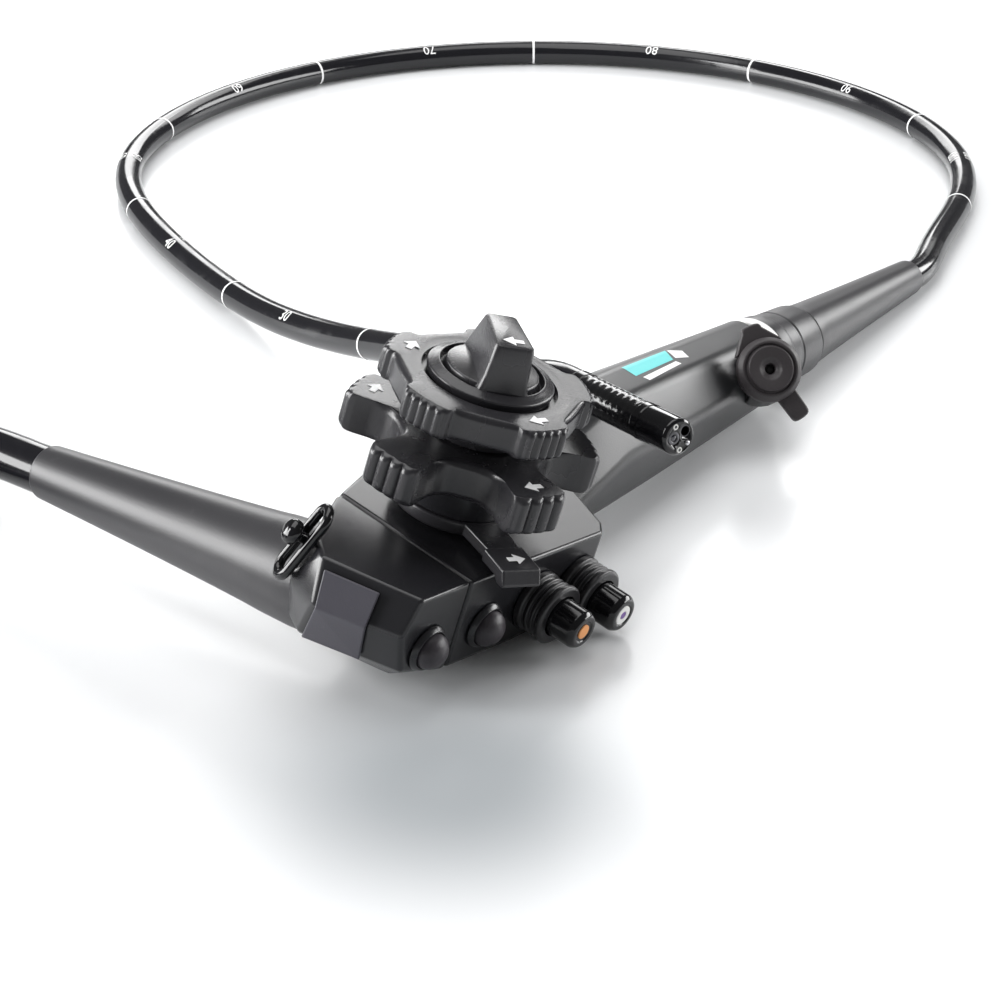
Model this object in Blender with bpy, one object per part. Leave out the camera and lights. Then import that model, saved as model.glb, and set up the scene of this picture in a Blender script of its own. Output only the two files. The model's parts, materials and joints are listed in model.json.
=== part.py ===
# Flexible video gastroscope lying on a table, in metres, +Z up.
# The control body lies on its side: its own X runs along the grip towards the insertion
# tube, its Z is the axis of the angulation wheels and its valves point to -Y.

import math

import bmesh
import bpy
import numpy as np
from mathutils import Matrix, Vector

# How the control body lies on the table
body_roll = math.radians(14.01)
body_pitch = math.radians(7.54)
body_height = 0.0337

# Clearances
seat_gap = 0.0003
running_gap = 0.0001
wall = 0.0028

# Control head
head_front_y = -0.0266
head_split_x = -0.0217
head_right_x = 0.0343
head_end_x = 0.0452
head_back_y = 0.0285
head_bottom_z = -0.0304
head_facet_y = -0.0150
head_front_foot_z = -0.0260
head_edge_radius = 0.0011
panel_gap = 0.0006
panel_thickness = 0.0010
panel_left_share = 0.06
panel_right_share = 0.62
cavity_left_x = -0.0200
cavity_front_y = -0.0090
cavity_back_y = 0.0160
cavity_top_z = -0.0030
cavity_floor_z = -0.0200

# Grip, a straight axis that leans a little to the back
grip_axis_y = 0.0086
grip_axis_slope_y = 0.075
grip_axis_z = -0.0068
grip_axis_slope_z = 0.028
grip_end_x = 0.1720
grip_ring_length = 0.0050
grip_ring_radius = 0.0137
collar_length = 0.0270
collar_radius = 0.0115

# Insertion tube and its boot
tube_diameter = 0.0099
insertion_boot_length = 0.0850
insertion_boot_rise = math.radians(0.9)
insertion_boot_turn = math.radians(1.4)

# Angulation wheels on one axis, heights above the head's top face
post_radius = 0.0012
rl_shaft_radius = 0.0022
ud_shaft_radius = 0.0032
drum_radius = 0.0044
wire_radius = 0.00045
brake_housing_radius = 0.0152
lever_bottom_z = 0.0024
lever_thickness = 0.0036
lever_ring_radius = 0.0160
lever_reach = 0.0385
lever_tab_width = 0.0114
lever_tab_length = 0.0120
lever_arm_width = 0.0092
lever_droop = 0.0048
lever_azimuth = math.radians(-111)
ud_wheel_radius = 0.0345
ud_wheel_bottom_z = 0.0140
ud_wheel_height = 0.0107
ud_wheel_lobes = 5
ud_wheel_turn = math.radians(-35)
rl_wheel_radius = 0.0283
rl_wheel_bottom_z = 0.0321
rl_wheel_height = 0.0094
rl_wheel_lobes = 6
rl_wheel_turn = math.radians(6)
rib_depth = 0.0007
ribs_per_lobe = 4
brake_disc_radius = 0.0168
brake_disc_thickness = 0.0032
brake_dome_radius = 0.0118
brake_bar_height = 0.0132
brake_bar_width = 0.0144
brake_bar_azimuth = math.radians(-128)

# Wires inside the head
wire_start_x = -0.0020
wire_length = 0.0240
stop_size = 0.0036
ud_wire_z = -0.0070
rl_wire_z = -0.0130

# Buttons and valves on the front face
button_xs = (-0.0338, -0.0108)
button_z = -0.0159
button_radius = 0.0049
button_height = 0.0060
button_crown = 0.0040
button_collar_radius = 0.0065
button_travel = 0.0012
valve_xs = (0.0098, 0.0273)
valve_z = -0.0140
valve_cap_radius = 0.0057
valve_cap_end_y = -0.0441
valve_cap_length = 0.0118
valve_stem_radius = 0.0026
valve_collar_radius = 0.0085
valve_collar_length = 0.0092
valve_travel = 0.0040

# Instrument channel port
port_cap_centre = Vector((0.1442, -0.0023, 0.0146))
port_length = 0.0350
port_axis = Vector((-0.66, -0.50, 0.56)).normalized()
port_tube_radius = 0.0052
port_cap_radius = 0.0098
port_cap_thickness = 0.0075
port_tab_reach = 0.0172
port_tab_width = 0.0044
port_strap_reach = 0.0146
port_strap_width = 0.0120

# Hanger loop on the head's back corner
hanger_from_corner = 0.0026
hanger_from_top = 0.0020
hanger_wire_radius = 0.0012
hanger_loop_width = 0.0080
hanger_loop_length = 0.0236
hanger_loop_drop = 0.0048

# Universal cord, its boot and its coil
cord_diameter = 0.0140
cord_boot_base = Vector((-0.0341, 0.0279, 0.0232))
cord_boot_length = 0.0880
cord_boot_radius = 0.0130
cord_boot_tip_radius = 0.0078
coil_centre = Vector((-0.0950, 0.2350, 0.0))
coil_inner_turn_radius = 0.0680
coil_layers_rise = 0.0121

# Light guide connector on the far end of the cord
connector_x = -0.1712
connector_back_y = 0.1508
connector_radius = 0.0198
connector_height = 0.0200
connector_length = 0.0560
connector_boot_length = 0.0300

# Bending section and tip: the tip face and the direction it looks
tip_face = Vector((0.0308, -0.0506, 0.0578))
tip_direction = Vector((-0.3187, -0.9473, 0.0505)).normalized()
tip_length = 0.0135
link_count = 7
link_pitch = 0.003125
link_radius = 0.0043
link_wall = 0.0008
link_gap = 0.0001
link_up_chamfer = math.radians(12.0)
link_down_chamfer = math.radians(6.6)

# Route of the insertion tube over the table, from its boot to the bending section
tube_route = (
    (0.3198, 0.0390, 0.0056), (0.3643, 0.0545, 0.0051), (0.4075, 0.0775, 0.0051),
    (0.4568, 0.1441, 0.0051), (0.4663, 0.2264, 0.0051), (0.4334, 0.3024, 0.0051),
    (0.3669, 0.3518, 0.0051), (0.2846, 0.3613, 0.0051), (0.2095, 0.3291, 0.0051),
    (0.1604, 0.2630, 0.0051), (0.1395, 0.2180, 0.0056), (0.1187, 0.1700, 0.0110),
    (0.0990, 0.1166, 0.0220), (0.0763, 0.0653, 0.0370), (0.0535, 0.0140, 0.0505),
)

# Route of the universal cord from its boot down to the table and into its coil
cord_route = (
    (-0.0325, 0.1380, 0.0215), (-0.0300, 0.1530, 0.0160), (-0.0242, 0.1665, 0.0105),
    (-0.0160, 0.1786, 0.0078), (-0.0091, 0.1912, 0.0074),
)

for old in list(bpy.data.objects):
    bpy.data.objects.remove(old, do_unlink=True)


# Materials

def plastic(name, colour, roughness, metallic=0.0):
    made = bpy.data.materials.new(name)
    made.use_nodes = True
    shader = made.node_tree.nodes["Principled BSDF"]
    shader.inputs["Base Color"].default_value = (*colour, 1.0)
    shader.inputs["Roughness"].default_value = roughness
    shader.inputs["Metallic"].default_value = metallic
    made.diffuse_color = (*colour, 1.0)
    return made


housing_black = plastic("housing_black", (0.030, 0.030, 0.033), 0.45)
grip_black = plastic("grip_black", (0.040, 0.040, 0.044), 0.50)
wheel_grey = plastic("wheel_grey", (0.070, 0.070, 0.078), 0.55)
button_rubber = plastic("button_rubber", (0.045, 0.040, 0.050), 0.65)
gloss_black = plastic("gloss_black", (0.010, 0.010, 0.011), 0.12)
boot_rubber = plastic("boot_rubber", (0.060, 0.060, 0.064), 0.45)
port_rubber = plastic("port_rubber", (0.055, 0.050, 0.052), 0.60)
ring_white = plastic("ring_white", (0.82, 0.82, 0.80), 0.35)
steel = plastic("steel", (0.60, 0.60, 0.62), 0.25, 1.0)
brass = plastic("brass", (0.70, 0.55, 0.28), 0.30, 1.0)
glass = plastic("glass", (0.05, 0.05, 0.09), 0.05)
light_white = plastic("light_white", (0.85, 0.85, 0.80), 0.20)

# Frames: the whole instrument, and the tilted control body in it
endoscope = bpy.data.objects.new("endoscope", None)
bpy.context.scene.collection.objects.link(endoscope)
control_body = bpy.data.objects.new("control_body", None)
bpy.context.scene.collection.objects.link(control_body)
control_body.parent = endoscope
control_body.location = (0.0, 0.0, body_height)
control_body.rotation_euler = (body_roll, body_pitch, 0.0)
cord_names = []


# Building helpers

def finish(name, shape, material, parent, angle=32.0):
    bmesh.ops.recalc_face_normals(shape, faces=shape.faces[:])
    mesh = bpy.data.meshes.new(name)
    shape.to_mesh(mesh)
    shape.free()
    mesh.materials.append(material)
    mesh.shade_smooth()
    mesh.set_sharp_from_angle(angle=math.radians(angle))
    made = bpy.data.objects.new(name, mesh)
    bpy.context.scene.collection.objects.link(made)
    made.parent = parent
    return made


def loft(rings, looped=False, shape=None):
    """Skin rings that have the same number of points, capped unless looped."""
    shape = shape or bmesh.new()
    rows = [[shape.verts.new(point) for point in ring] for ring in rings]
    count = len(rows[0])
    pairs = list(zip(rows, rows[1:]))
    if looped:
        pairs.append((rows[-1], rows[0]))
    for first, second in pairs:
        for i in range(count):
            j = (i + 1) % count
            shape.faces.new((first[i], first[j], second[j], second[i]))
    if not looped:
        shape.faces.new(rows[0])
        shape.faces.new(rows[-1])
    return shape


def circle(radius, height, steps=24, turn=0.0):
    return [(radius * math.cos(turn + 2 * math.pi * i / steps),
             radius * math.sin(turn + 2 * math.pi * i / steps), height) for i in range(steps)]


def turned(profile, steps=24, ring=False, shape=None):
    """Turn a profile of (radius, height) about Z; ring closes it on itself round a bore."""
    return loft([circle(radius, height, steps) for radius, height in profile], ring, shape)


def hull(points):
    shape = bmesh.new()
    for point in points:
        shape.verts.new(point)
    result = bmesh.ops.convex_hull(shape, input=shape.verts)
    spare = [item for item in result["geom_interior"] if isinstance(item, bmesh.types.BMVert)]
    bmesh.ops.delete(shape, geom=spare, context="VERTS")
    bmesh.ops.dissolve_limit(shape, angle_limit=math.radians(1.5), verts=shape.verts, edges=shape.edges)
    return shape


def block(low, high):
    corners = [(x, y, z) for x in (low[0], high[0]) for y in (low[1], high[1]) for z in (low[2], high[2])]
    return hull(corners)


def aim(thing, origin, direction, up="Y"):
    """Put an object's origin at a point with its Z along a direction."""
    thing.rotation_euler = Vector(direction).to_track_quat("Z", up).to_euler()
    thing.location = origin
    return thing


def soften(thing, width, segments=2, angle=30.0):
    bevel = thing.modifiers.new("soft edges", "BEVEL")
    bevel.width = width
    bevel.segments = segments
    bevel.limit_method = "ANGLE"
    bevel.angle_limit = math.radians(angle)
    return thing


def cut(thing, cutter, operation="DIFFERENCE"):
    cutter.hide_render = True
    cutter.display_type = "WIRE"
    trim = thing.modifiers.new("cut", "BOOLEAN")
    trim.operation = operation
    trim.solver = "EXACT"
    trim.object = cutter
    return thing


def smooth_route(points, spacing):
    """Even points on a natural cubic spline through the route's own points."""
    points = np.array([tuple(point) for point in points])
    gaps = np.linalg.norm(np.diff(points, axis=0), axis=1)
    count = len(points)
    system = np.eye(count)
    right = np.zeros((count, 3))
    for i in range(1, count - 1):
        before, after = gaps[i - 1], gaps[i]
        system[i, i - 1:i + 2] = before, 2 * (before + after), after
        right[i] = 6 * ((points[i + 1] - points[i]) / after - (points[i] - points[i - 1]) / before)
    bend = np.linalg.solve(system, right)
    fine = []
    for i in range(count - 1):
        for t in np.linspace(0.0, 1.0, 40, endpoint=False):
            line = (1 - t) * points[i] + t * points[i + 1]
            fine.append(line + (((1 - t) ** 3 - (1 - t)) * bend[i] + (t ** 3 - t) * bend[i + 1]) * gaps[i] ** 2 / 6)
    fine = np.array(fine + [points[-1]])
    walked = np.concatenate([[0.0], np.cumsum(np.linalg.norm(np.diff(fine, axis=0), axis=1))])
    goals = np.linspace(0.0, walked[-1], max(3, round(walked[-1] / spacing) + 1))
    return [Vector([np.interp(goal, walked, fine[:, axis]) for axis in range(3)]) for goal in goals]


def cord(name, points, diameter, material, resolution):
    curve = bpy.data.curves.new(name, "CURVE")
    curve.dimensions = "3D"
    curve.bevel_depth = diameter / 2
    curve.bevel_resolution = resolution
    curve.use_fill_caps = True
    spline = curve.splines.new("POLY")
    spline.points.add(len(points) - 1)
    for place, point in zip(spline.points, points):
        place.co = (*point, 1.0)
    curve.materials.append(material)
    made = bpy.data.objects.new(name, curve)
    bpy.context.scene.collection.objects.link(made)
    made.parent = endoscope
    cord_names.append(name)
    return made


# Control head: a faceted main shell and an end cover that meet at a split line

def grip_axis(x):
    return grip_axis_y + grip_axis_slope_y * x, grip_axis_z + grip_axis_slope_z * x


end_top = ((-0.0410, head_front_y, 0.0), (-0.0499, -0.0002, 0.0), (-0.0426, 0.0091, 0.0))
end_middle = ((-0.0453, head_front_y, -0.0099), (-0.0535, -0.0035, -0.0112), (-0.0485, 0.0088, -0.0105))
end_low = ((-0.0413, head_front_y, -0.0213), (-0.0498, 0.0010, -0.0232), (-0.0445, 0.0098, -0.0238))
end_bottom = ((-0.0320, -0.0170, head_bottom_z), (-0.0380, 0.0020, head_bottom_z),
              (-0.0350, 0.0080, head_bottom_z))


def head_section(x, back_y):
    return [(x, head_front_y, 0.0), (x, head_front_y, head_front_foot_z), (x, head_facet_y, head_bottom_z),
            (x, back_y - 0.0060, head_bottom_z), (x, back_y + 0.0010, -0.0230), (x, back_y, 0.0)]


def head_main_points(grow=0.0):
    grip_y, grip_z = grip_axis(head_end_x)
    points = head_section(head_split_x, 0.0196) + head_section(0.0050, head_back_y)
    points += [(head_right_x, head_front_y, 0.0), (head_right_x, head_front_y, -0.0238),
               (head_right_x, head_facet_y, -0.0262), (0.0382, -0.0233, 0.0),
               (head_end_x, -0.0074, 0.0), (head_end_x, -0.0110, -0.0120),
               (head_end_x, grip_y - 0.0150, grip_z - 0.0190), (head_end_x, grip_y + 0.0060, grip_z - 0.0205),
               (head_end_x, grip_y + 0.0175, grip_z - 0.0080), (head_end_x, grip_y + 0.0165, 0.0)]
    return grown(points, grow)


def head_end_points(grow=0.0):
    points = head_section(head_split_x - seat_gap + grow, 0.0196)
    points += list(end_top) + list(end_middle) + list(end_low) + list(end_bottom)
    return grown(points, grow)


def grown(points, grow):
    centre = Vector((0.0, 0.0, head_bottom_z / 2))
    result = []
    for point in points:
        away = Vector(point) - centre
        result.append(centre + away + away.normalized() * grow)
    return result


head_shell = finish("head_shell", hull(head_main_points()), housing_black, control_body)
soften(head_shell, head_edge_radius)
cavity = finish("head_cavity", block((cavity_left_x, cavity_front_y, cavity_floor_z),
                                     (head_end_x + wall, cavity_back_y, cavity_top_z)),
                housing_black, control_body)
cut(head_shell, cavity)
shaft_hole = finish("shaft_hole", turned(((ud_shaft_radius + seat_gap, cavity_top_z - wall),
                                          (ud_shaft_radius + seat_gap, wall)), 24),
                    housing_black, control_body)
cut(head_shell, shaft_hole)
head_end_cover = finish("head_end_cover", hull(head_end_points()), housing_black, control_body)
soften(head_end_cover, head_edge_radius)


def end_panel_piece():
    """Two-faceted panel on the end face, set in from its edges."""
    rows = []
    for left, right in zip((end_top[1], end_middle[1], end_low[1]), (end_top[0], end_middle[0], end_low[0])):
        left, right = Vector(left), Vector(right)
        rows.append((left.lerp(right, panel_left_share), left.lerp(right, panel_right_share)))
    top = [rows[0][i].lerp(rows[1][i], 0.22) for i in range(2)]
    low = [rows[2][i].lerp(rows[1][i], 0.04) for i in range(2)]
    upper_out = (rows[0][0] - rows[1][1]).cross(rows[0][1] - rows[1][0]).normalized()
    upper_out *= -1 if upper_out.x > 0 else 1
    lower_out = (rows[1][0] - rows[2][1]).cross(rows[1][1] - rows[2][0]).normalized()
    lower_out *= -1 if lower_out.x > 0 else 1
    middle_out = (upper_out + lower_out).normalized()
    rings = []
    for depth in (panel_gap, panel_gap + panel_thickness):
        rings.append([top[0] + upper_out * depth, top[1] + upper_out * depth,
                      rows[1][1] + middle_out * depth, low[1] + lower_out * depth,
                      low[0] + lower_out * depth, rows[1][0] + middle_out * depth])
    shape = bmesh.new()
    inner, outer = [[shape.verts.new(point) for point in ring] for ring in rings]
    for side in (inner, outer):
        shape.faces.new((side[0], side[1], side[2], side[5]))
        shape.faces.new((side[5], side[2], side[3], side[4]))
    for i in range(6):
        j = (i + 1) % 6
        shape.faces.new((inner[i], inner[j], outer[j], outer[i]))
    return finish("end_panel", shape, wheel_grey, control_body)


end_panel = end_panel_piece()

chassis = finish("chassis_plate", block((cavity_left_x + 2 * seat_gap, cavity_front_y + seat_gap,
                                         cavity_floor_z + seat_gap),
                                        (head_end_x - seat_gap, cavity_back_y - seat_gap,
                                         cavity_floor_z + seat_gap + 0.0020)), steel, control_body)


# Grip: an eight-sided tapering shell whose facets round off towards the white ring

def grip_section(x, grow=0.0):
    y, z = grip_axis(x)
    slim = (x - head_end_x) / (grip_end_x - head_end_x)
    belly = math.sin(math.pi * min(1.0, max(0.0, slim)) ** 0.7)
    round_radius = 0.0136 + grow
    points = []
    rise = min(1.0, max(0.0, slim) / 0.22)
    facets = ((-0.0196, -0.0065 + 0.0115 * rise), (-0.0070, 0.0055 + 0.0115 * rise),
              (0.0060, 0.0058 + 0.0115 * rise), (0.0172, 0.0035 + 0.0045 * rise),
              (0.0178, -0.0095), (0.0080, -0.0205), (-0.0095, -0.0205), (-0.0190, -0.0105))
    for i, (fy, fz) in enumerate(facets):
        angle = math.radians(180 - 22.5 - 45 * i)
        target = Vector((round_radius * math.cos(angle), round_radius * math.sin(angle))) / math.cos(math.pi / 8)
        start = Vector((fy, fz))
        start += start.normalized() * grow
        blend = max(0.0, slim) ** 1.15
        mixed = start.lerp(target, min(1.0, blend)) * (1.0 + 0.02 * belly)
        lean = mixed.x * grip_axis_slope_y + mixed.y * grip_axis_slope_z
        points.append((x - lean * min(1.0, blend), y + mixed.x, z + mixed.y))
    return points


grip_stations = [head_end_x + seat_gap + (grip_end_x - head_end_x - seat_gap) * share
                 for share in (0.0, 0.10, 0.24, 0.45, 0.70, 1.0)]
grip_shell = finish("grip_shell", loft([grip_section(x) for x in grip_stations]), grip_black, control_body)
soften(grip_shell, 0.0026, 2, 14.0)
grip_hollow = finish("grip_hollow", loft([grip_section(x, -wall) for x in
                                          [grip_stations[0] - wall] + grip_stations[1:-1]
                                          + [grip_end_x + wall]]), grip_black, control_body)
cut(grip_shell, grip_hollow)

# White ring, collar and boot on the grip's axis
grip_line = Vector((1.0, grip_axis_slope_y, grip_axis_slope_z)).normalized()


def on_grip(x):
    y, z = grip_axis(x)
    return Vector((x, y, z))


ring_start = grip_end_x + seat_gap
ring_profile = ((collar_radius - wall, 0.0), (grip_ring_radius - 0.0006, 0.0), (grip_ring_radius, 0.0006),
                (grip_ring_radius - 0.0004, grip_ring_length), (collar_radius - wall, grip_ring_length))
grip_ring = finish("grip_ring", turned(ring_profile, 32, ring=True), ring_white, control_body)
aim(grip_ring, on_grip(ring_start), grip_line)

collar_start = ring_start + grip_ring_length + seat_gap
bore = tube_diameter / 2 + 0.0012
collar_profile = ((bore, 0.0), (collar_radius + 0.0014, 0.0), (collar_radius + 0.0014, 0.0060),
                  (collar_radius + 0.0006, 0.0068), (collar_radius, collar_length - 0.0010),
                  (collar_radius - 0.0010, collar_length), (bore, collar_length))
collar = finish("grip_collar", turned(collar_profile, 32, ring=True), boot_rubber, control_body)
aim(collar, on_grip(collar_start), grip_line)

boot_start = collar_start + collar_length + seat_gap
boot_line = Matrix.Rotation(insertion_boot_turn, 3, "Z") @ Matrix.Rotation(-insertion_boot_rise, 3, "Y") @ grip_line
boot_bore = tube_diameter / 2 + seat_gap
boot_profile = [(boot_bore, 0.0), (collar_radius - 0.0008, 0.0)]
for station in range(1, 7):
    share = station / 6
    boot_profile.append((collar_radius - 0.0008 - (collar_radius - 0.0008 - 0.0061) * share ** 0.85,
                         (insertion_boot_length - 0.0006) * share))
boot_profile += [(0.0056, insertion_boot_length), (boot_bore, insertion_boot_length)]
insertion_boot = finish("insertion_boot", turned(boot_profile, 24, ring=True), boot_rubber, control_body)
aim(insertion_boot, on_grip(boot_start), boot_line)


# Angulation wheels: lobed rims with ribbed pads, turned hubs

def lobed_radius(angle, radius, lobes, pad, low_radius, ribs):
    sector = 2 * math.pi / lobes
    offset = abs((angle + sector / 2) % sector - sector / 2)
    neck = radius - 0.0026
    if offset <= pad:
        return radius - rib_depth * (0.5 - 0.5 * math.cos(2 * math.pi * ribs * (offset + pad) / (2 * pad)))
    share = (offset - pad) / (sector / 2 - pad)
    return neck - (neck - low_radius) * math.sqrt(1 - (1 - share) ** 2)


def lobed_angles(lobes, pad, ribs, scallop_points):
    sector = 2 * math.pi / lobes
    angles = []
    for lobe in range(lobes):
        for i in range(2 * ribs + 1):
            angles.append(lobe * sector - pad + 2 * pad * i / (2 * ribs))
        for i in range(scallop_points):
            share = (i + 0.35) / (scallop_points - 0.3)
            angles.append(lobe * sector + pad + (sector - 2 * pad) * share)
    return angles


def wheel_mesh(radius, lobes, pad, low_radius, bottom, height, hub, turn, scallop_points):
    """Rings from the bore's foot out round the rim and back; hub lists the inner (radius, height)."""
    angles = lobed_angles(lobes, pad, ribs_per_lobe, scallop_points)
    edge = 0.0012
    rims = [(edge, bottom), (0.0, bottom + edge), (0.0, bottom + height - edge), (edge, bottom + height)]
    rings = []
    for inward, z in rims:
        ring = []
        for angle in angles:
            r = lobed_radius(angle, radius, lobes, pad, low_radius, ribs_per_lobe) - inward
            ring.append((r * math.cos(angle + turn), r * math.sin(angle + turn), z))
        rings.append(ring)
    for r, z in hub:
        rings.append([(r * math.cos(angle + turn), r * math.sin(angle + turn), z) for angle in angles])
    return loft(rings, looped=True)


ud_top = ud_wheel_bottom_z + ud_wheel_height
rl_bottom_hub_z = ud_top + 0.0008
rl_top = rl_wheel_bottom_z + rl_wheel_height
rl_seat_z = rl_top - 0.0032
ud_hub = ((0.0200, ud_top - 0.0004), (0.0150, ud_top + 0.0004 - seat_gap),
          (ud_shaft_radius + seat_gap, ud_top + 0.0004 - seat_gap),
          (ud_shaft_radius + seat_gap, ud_wheel_bottom_z), (0.0175, ud_wheel_bottom_z))
ud_wheel = finish("ud_wheel", wheel_mesh(ud_wheel_radius, ud_wheel_lobes, math.radians(16.5), 0.0225,
                                         ud_wheel_bottom_z, ud_wheel_height, ud_hub, ud_wheel_turn, 8),
                  wheel_grey, control_body)
rl_hub = ((0.0205, rl_top - 0.0002), (0.0182, rl_seat_z), (rl_shaft_radius + seat_gap, rl_seat_z),
          (rl_shaft_radius + seat_gap, rl_bottom_hub_z), (0.0130, rl_bottom_hub_z),
          (0.0135, rl_wheel_bottom_z))
rl_wheel = finish("rl_wheel", wheel_mesh(rl_wheel_radius, rl_wheel_lobes, math.radians(15.0), 0.0228,
                                         rl_wheel_bottom_z, rl_wheel_height, rl_hub, rl_wheel_turn, 6),
                  wheel_grey, control_body)

# Concentric shafts with the drums that pull the angulation wires
post_foot_z = cavity_floor_z + 0.0020 + 2 * seat_gap
post_top_z = rl_top + 0.0020
centre_post = finish("centre_post", turned(((0.0040, post_foot_z), (0.0040, post_foot_z + 0.0012),
                                            (post_radius, post_foot_z + 0.0012),
                                            (post_radius, post_top_z)), 24), steel, control_body)


def drum_shaft(name, inner, outer, low, high, drum_low, drum_high):
    profile = ((inner, low), (drum_radius, low), (drum_radius, drum_low + 0.0006),
               (drum_radius - 0.0006, drum_low + 0.0014), (drum_radius - 0.0006, drum_high - 0.0014),
               (drum_radius, drum_high - 0.0006), (drum_radius, drum_high), (outer, drum_high),
               (outer, high), (inner, high))
    return finish(name, turned(profile, 24, ring=True), brass, control_body)


rl_drum = drum_shaft("rl_drum_shaft", post_radius + running_gap, rl_shaft_radius,
                     rl_wire_z - 0.0022, rl_seat_z - seat_gap, rl_wire_z - 0.0022, rl_wire_z + 0.0022)
ud_drum = drum_shaft("ud_drum_shaft", rl_shaft_radius + running_gap, ud_shaft_radius,
                     ud_wire_z - 0.0022, ud_top, ud_wire_z - 0.0022, ud_wire_z + 0.0022)

# Angulation wires with their stop blocks, tangent to the drums on both sides
wire_offset = drum_radius + seat_gap + wire_radius


def wire(name, side, z):
    rod = []
    for x in (wire_start_x, wire_start_x + wire_length):
        rod.append([(x, side * wire_offset + wire_radius * math.cos(math.radians(60 * i)),
                     z + wire_radius * math.sin(math.radians(60 * i))) for i in range(6)])
    made = finish(name, loft(rod), steel, control_body)
    stop_x = wire_start_x + wire_length - stop_size / 2
    stop = finish(name + "_stop_shape", block((stop_x, side * wire_offset - stop_size / 2, z - stop_size / 2),
                                              (stop_x + stop_size, side * wire_offset + stop_size / 2,
                                               z + stop_size / 2)), steel, control_body)
    cut(made, stop, "UNION")
    return made


wires = [wire("up_wire", 1, ud_wire_z), wire("down_wire", -1, ud_wire_z),
         wire("right_wire", 1, rl_wire_z), wire("left_wire", -1, rl_wire_z)]

# Brake housing and brake lever under the lower wheel
lever_top_z = lever_bottom_z + lever_thickness
neck_radius = 0.0085
housing_profile = ((ud_shaft_radius + seat_gap, seat_gap), (neck_radius, seat_gap),
                   (neck_radius, lever_top_z + seat_gap), (brake_housing_radius, lever_top_z + seat_gap),
                   (brake_housing_radius + 0.0004, ud_wheel_bottom_z - 0.0012),
                   (brake_housing_radius - 0.0006, ud_wheel_bottom_z - seat_gap),
                   (ud_shaft_radius + seat_gap, ud_wheel_bottom_z - seat_gap))
brake_housing = finish("brake_housing", turned(housing_profile, 32, ring=True), housing_black, control_body)


def brake_lever():
    ring = turned(((neck_radius + seat_gap, lever_bottom_z), (lever_ring_radius, lever_bottom_z),
                   (lever_ring_radius, lever_top_z), (neck_radius + seat_gap, lever_top_z)), 40, ring=True)
    made = finish("ud_brake_lever", ring, wheel_grey, control_body)
    tab_start = lever_reach - lever_tab_length
    half = lever_arm_width / 2
    arm = [(neck_radius + 0.0015, -half - 0.0012), (neck_radius + 0.0015, half + 0.0030),
           (tab_start + 0.0010, half), (tab_start + 0.0010, -half)]
    rings = [[(x, y, lever_bottom_z) for x, y in arm], [(x, y, lever_top_z) for x, y in arm]]
    arm_shape = finish("lever_arm_shape", loft(rings), wheel_grey, control_body)
    half = lever_tab_width / 2
    low = lever_top_z - lever_droop
    tab = ((tab_start, lever_top_z), (lever_reach - 0.0018, lever_top_z - 0.0003),
           (lever_reach, low + 0.0008), (lever_reach - 0.0008, low), (lever_reach - 0.0034, low),
           (lever_reach - 0.0052, lever_bottom_z), (tab_start, lever_bottom_z))
    tab_shape = finish("lever_tab_shape", loft([[(x, -half, z) for x, z in tab],
                                                [(x, half, z) for x, z in tab]]), wheel_grey, control_body)
    cut(made, arm_shape, "UNION")
    cut(made, tab_shape, "UNION")
    for part in (made, arm_shape, tab_shape):
        part.rotation_euler = (0.0, 0.0, lever_azimuth)
    return made


ud_brake_lever = brake_lever()


def brake_knob():
    """Disc with a groove, a low dome and a wedge-shaped thumb bar across it."""
    disc_top = rl_top + 0.0005
    disc_low = disc_top - brake_disc_thickness + 0.0001
    profile = ((post_radius + running_gap, disc_low), (brake_disc_radius - 0.0005, disc_low),
               (brake_disc_radius, disc_low + 0.0006), (brake_disc_radius, disc_top - 0.0010),
               (brake_disc_radius - 0.0012, disc_top), (brake_dome_radius + 0.0009, disc_top + 0.0006),
               (brake_dome_radius + 0.0004, disc_top - 0.0004), (brake_dome_radius, disc_top + 0.0008),
               (brake_dome_radius - 0.0030, disc_top + 0.0016), (0.0030, disc_top + 0.0024),
               (post_radius + running_gap, disc_top + 0.0024))
    made = finish("rl_brake_knob", turned(profile, 40, ring=True), wheel_grey, control_body)
    base = disc_top - 0.0005
    top = disc_top + brake_bar_height
    front = brake_dome_radius + 0.0012
    half = brake_bar_width / 2
    low = [(-front, -0.8 * half), (front, -half), (front, half), (-front, 0.8 * half)]
    high = [(-0.5 * front, -0.58 * half), (front - 0.0006, -0.74 * half),
            (front - 0.0006, 0.74 * half), (-0.5 * front, 0.58 * half)]
    bar = hull([(x, y, base) for x, y in low] + [(x, y, top) for x, y in high])
    bar_shape = finish("bar_shape", bar, wheel_grey, control_body)
    soften(bar_shape, 0.0009)
    bar_shape.rotation_euler = (0.0, 0.0, brake_bar_azimuth)
    cut(made, bar_shape, "UNION")
    post_hole = finish("post_hole", turned(((post_radius + running_gap, disc_low - 0.0010),
                                            (post_radius + running_gap, post_top_z + seat_gap)), 24),
                       wheel_grey, control_body)
    cut(made, post_hole)
    return made


rl_brake_knob = brake_knob()

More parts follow.
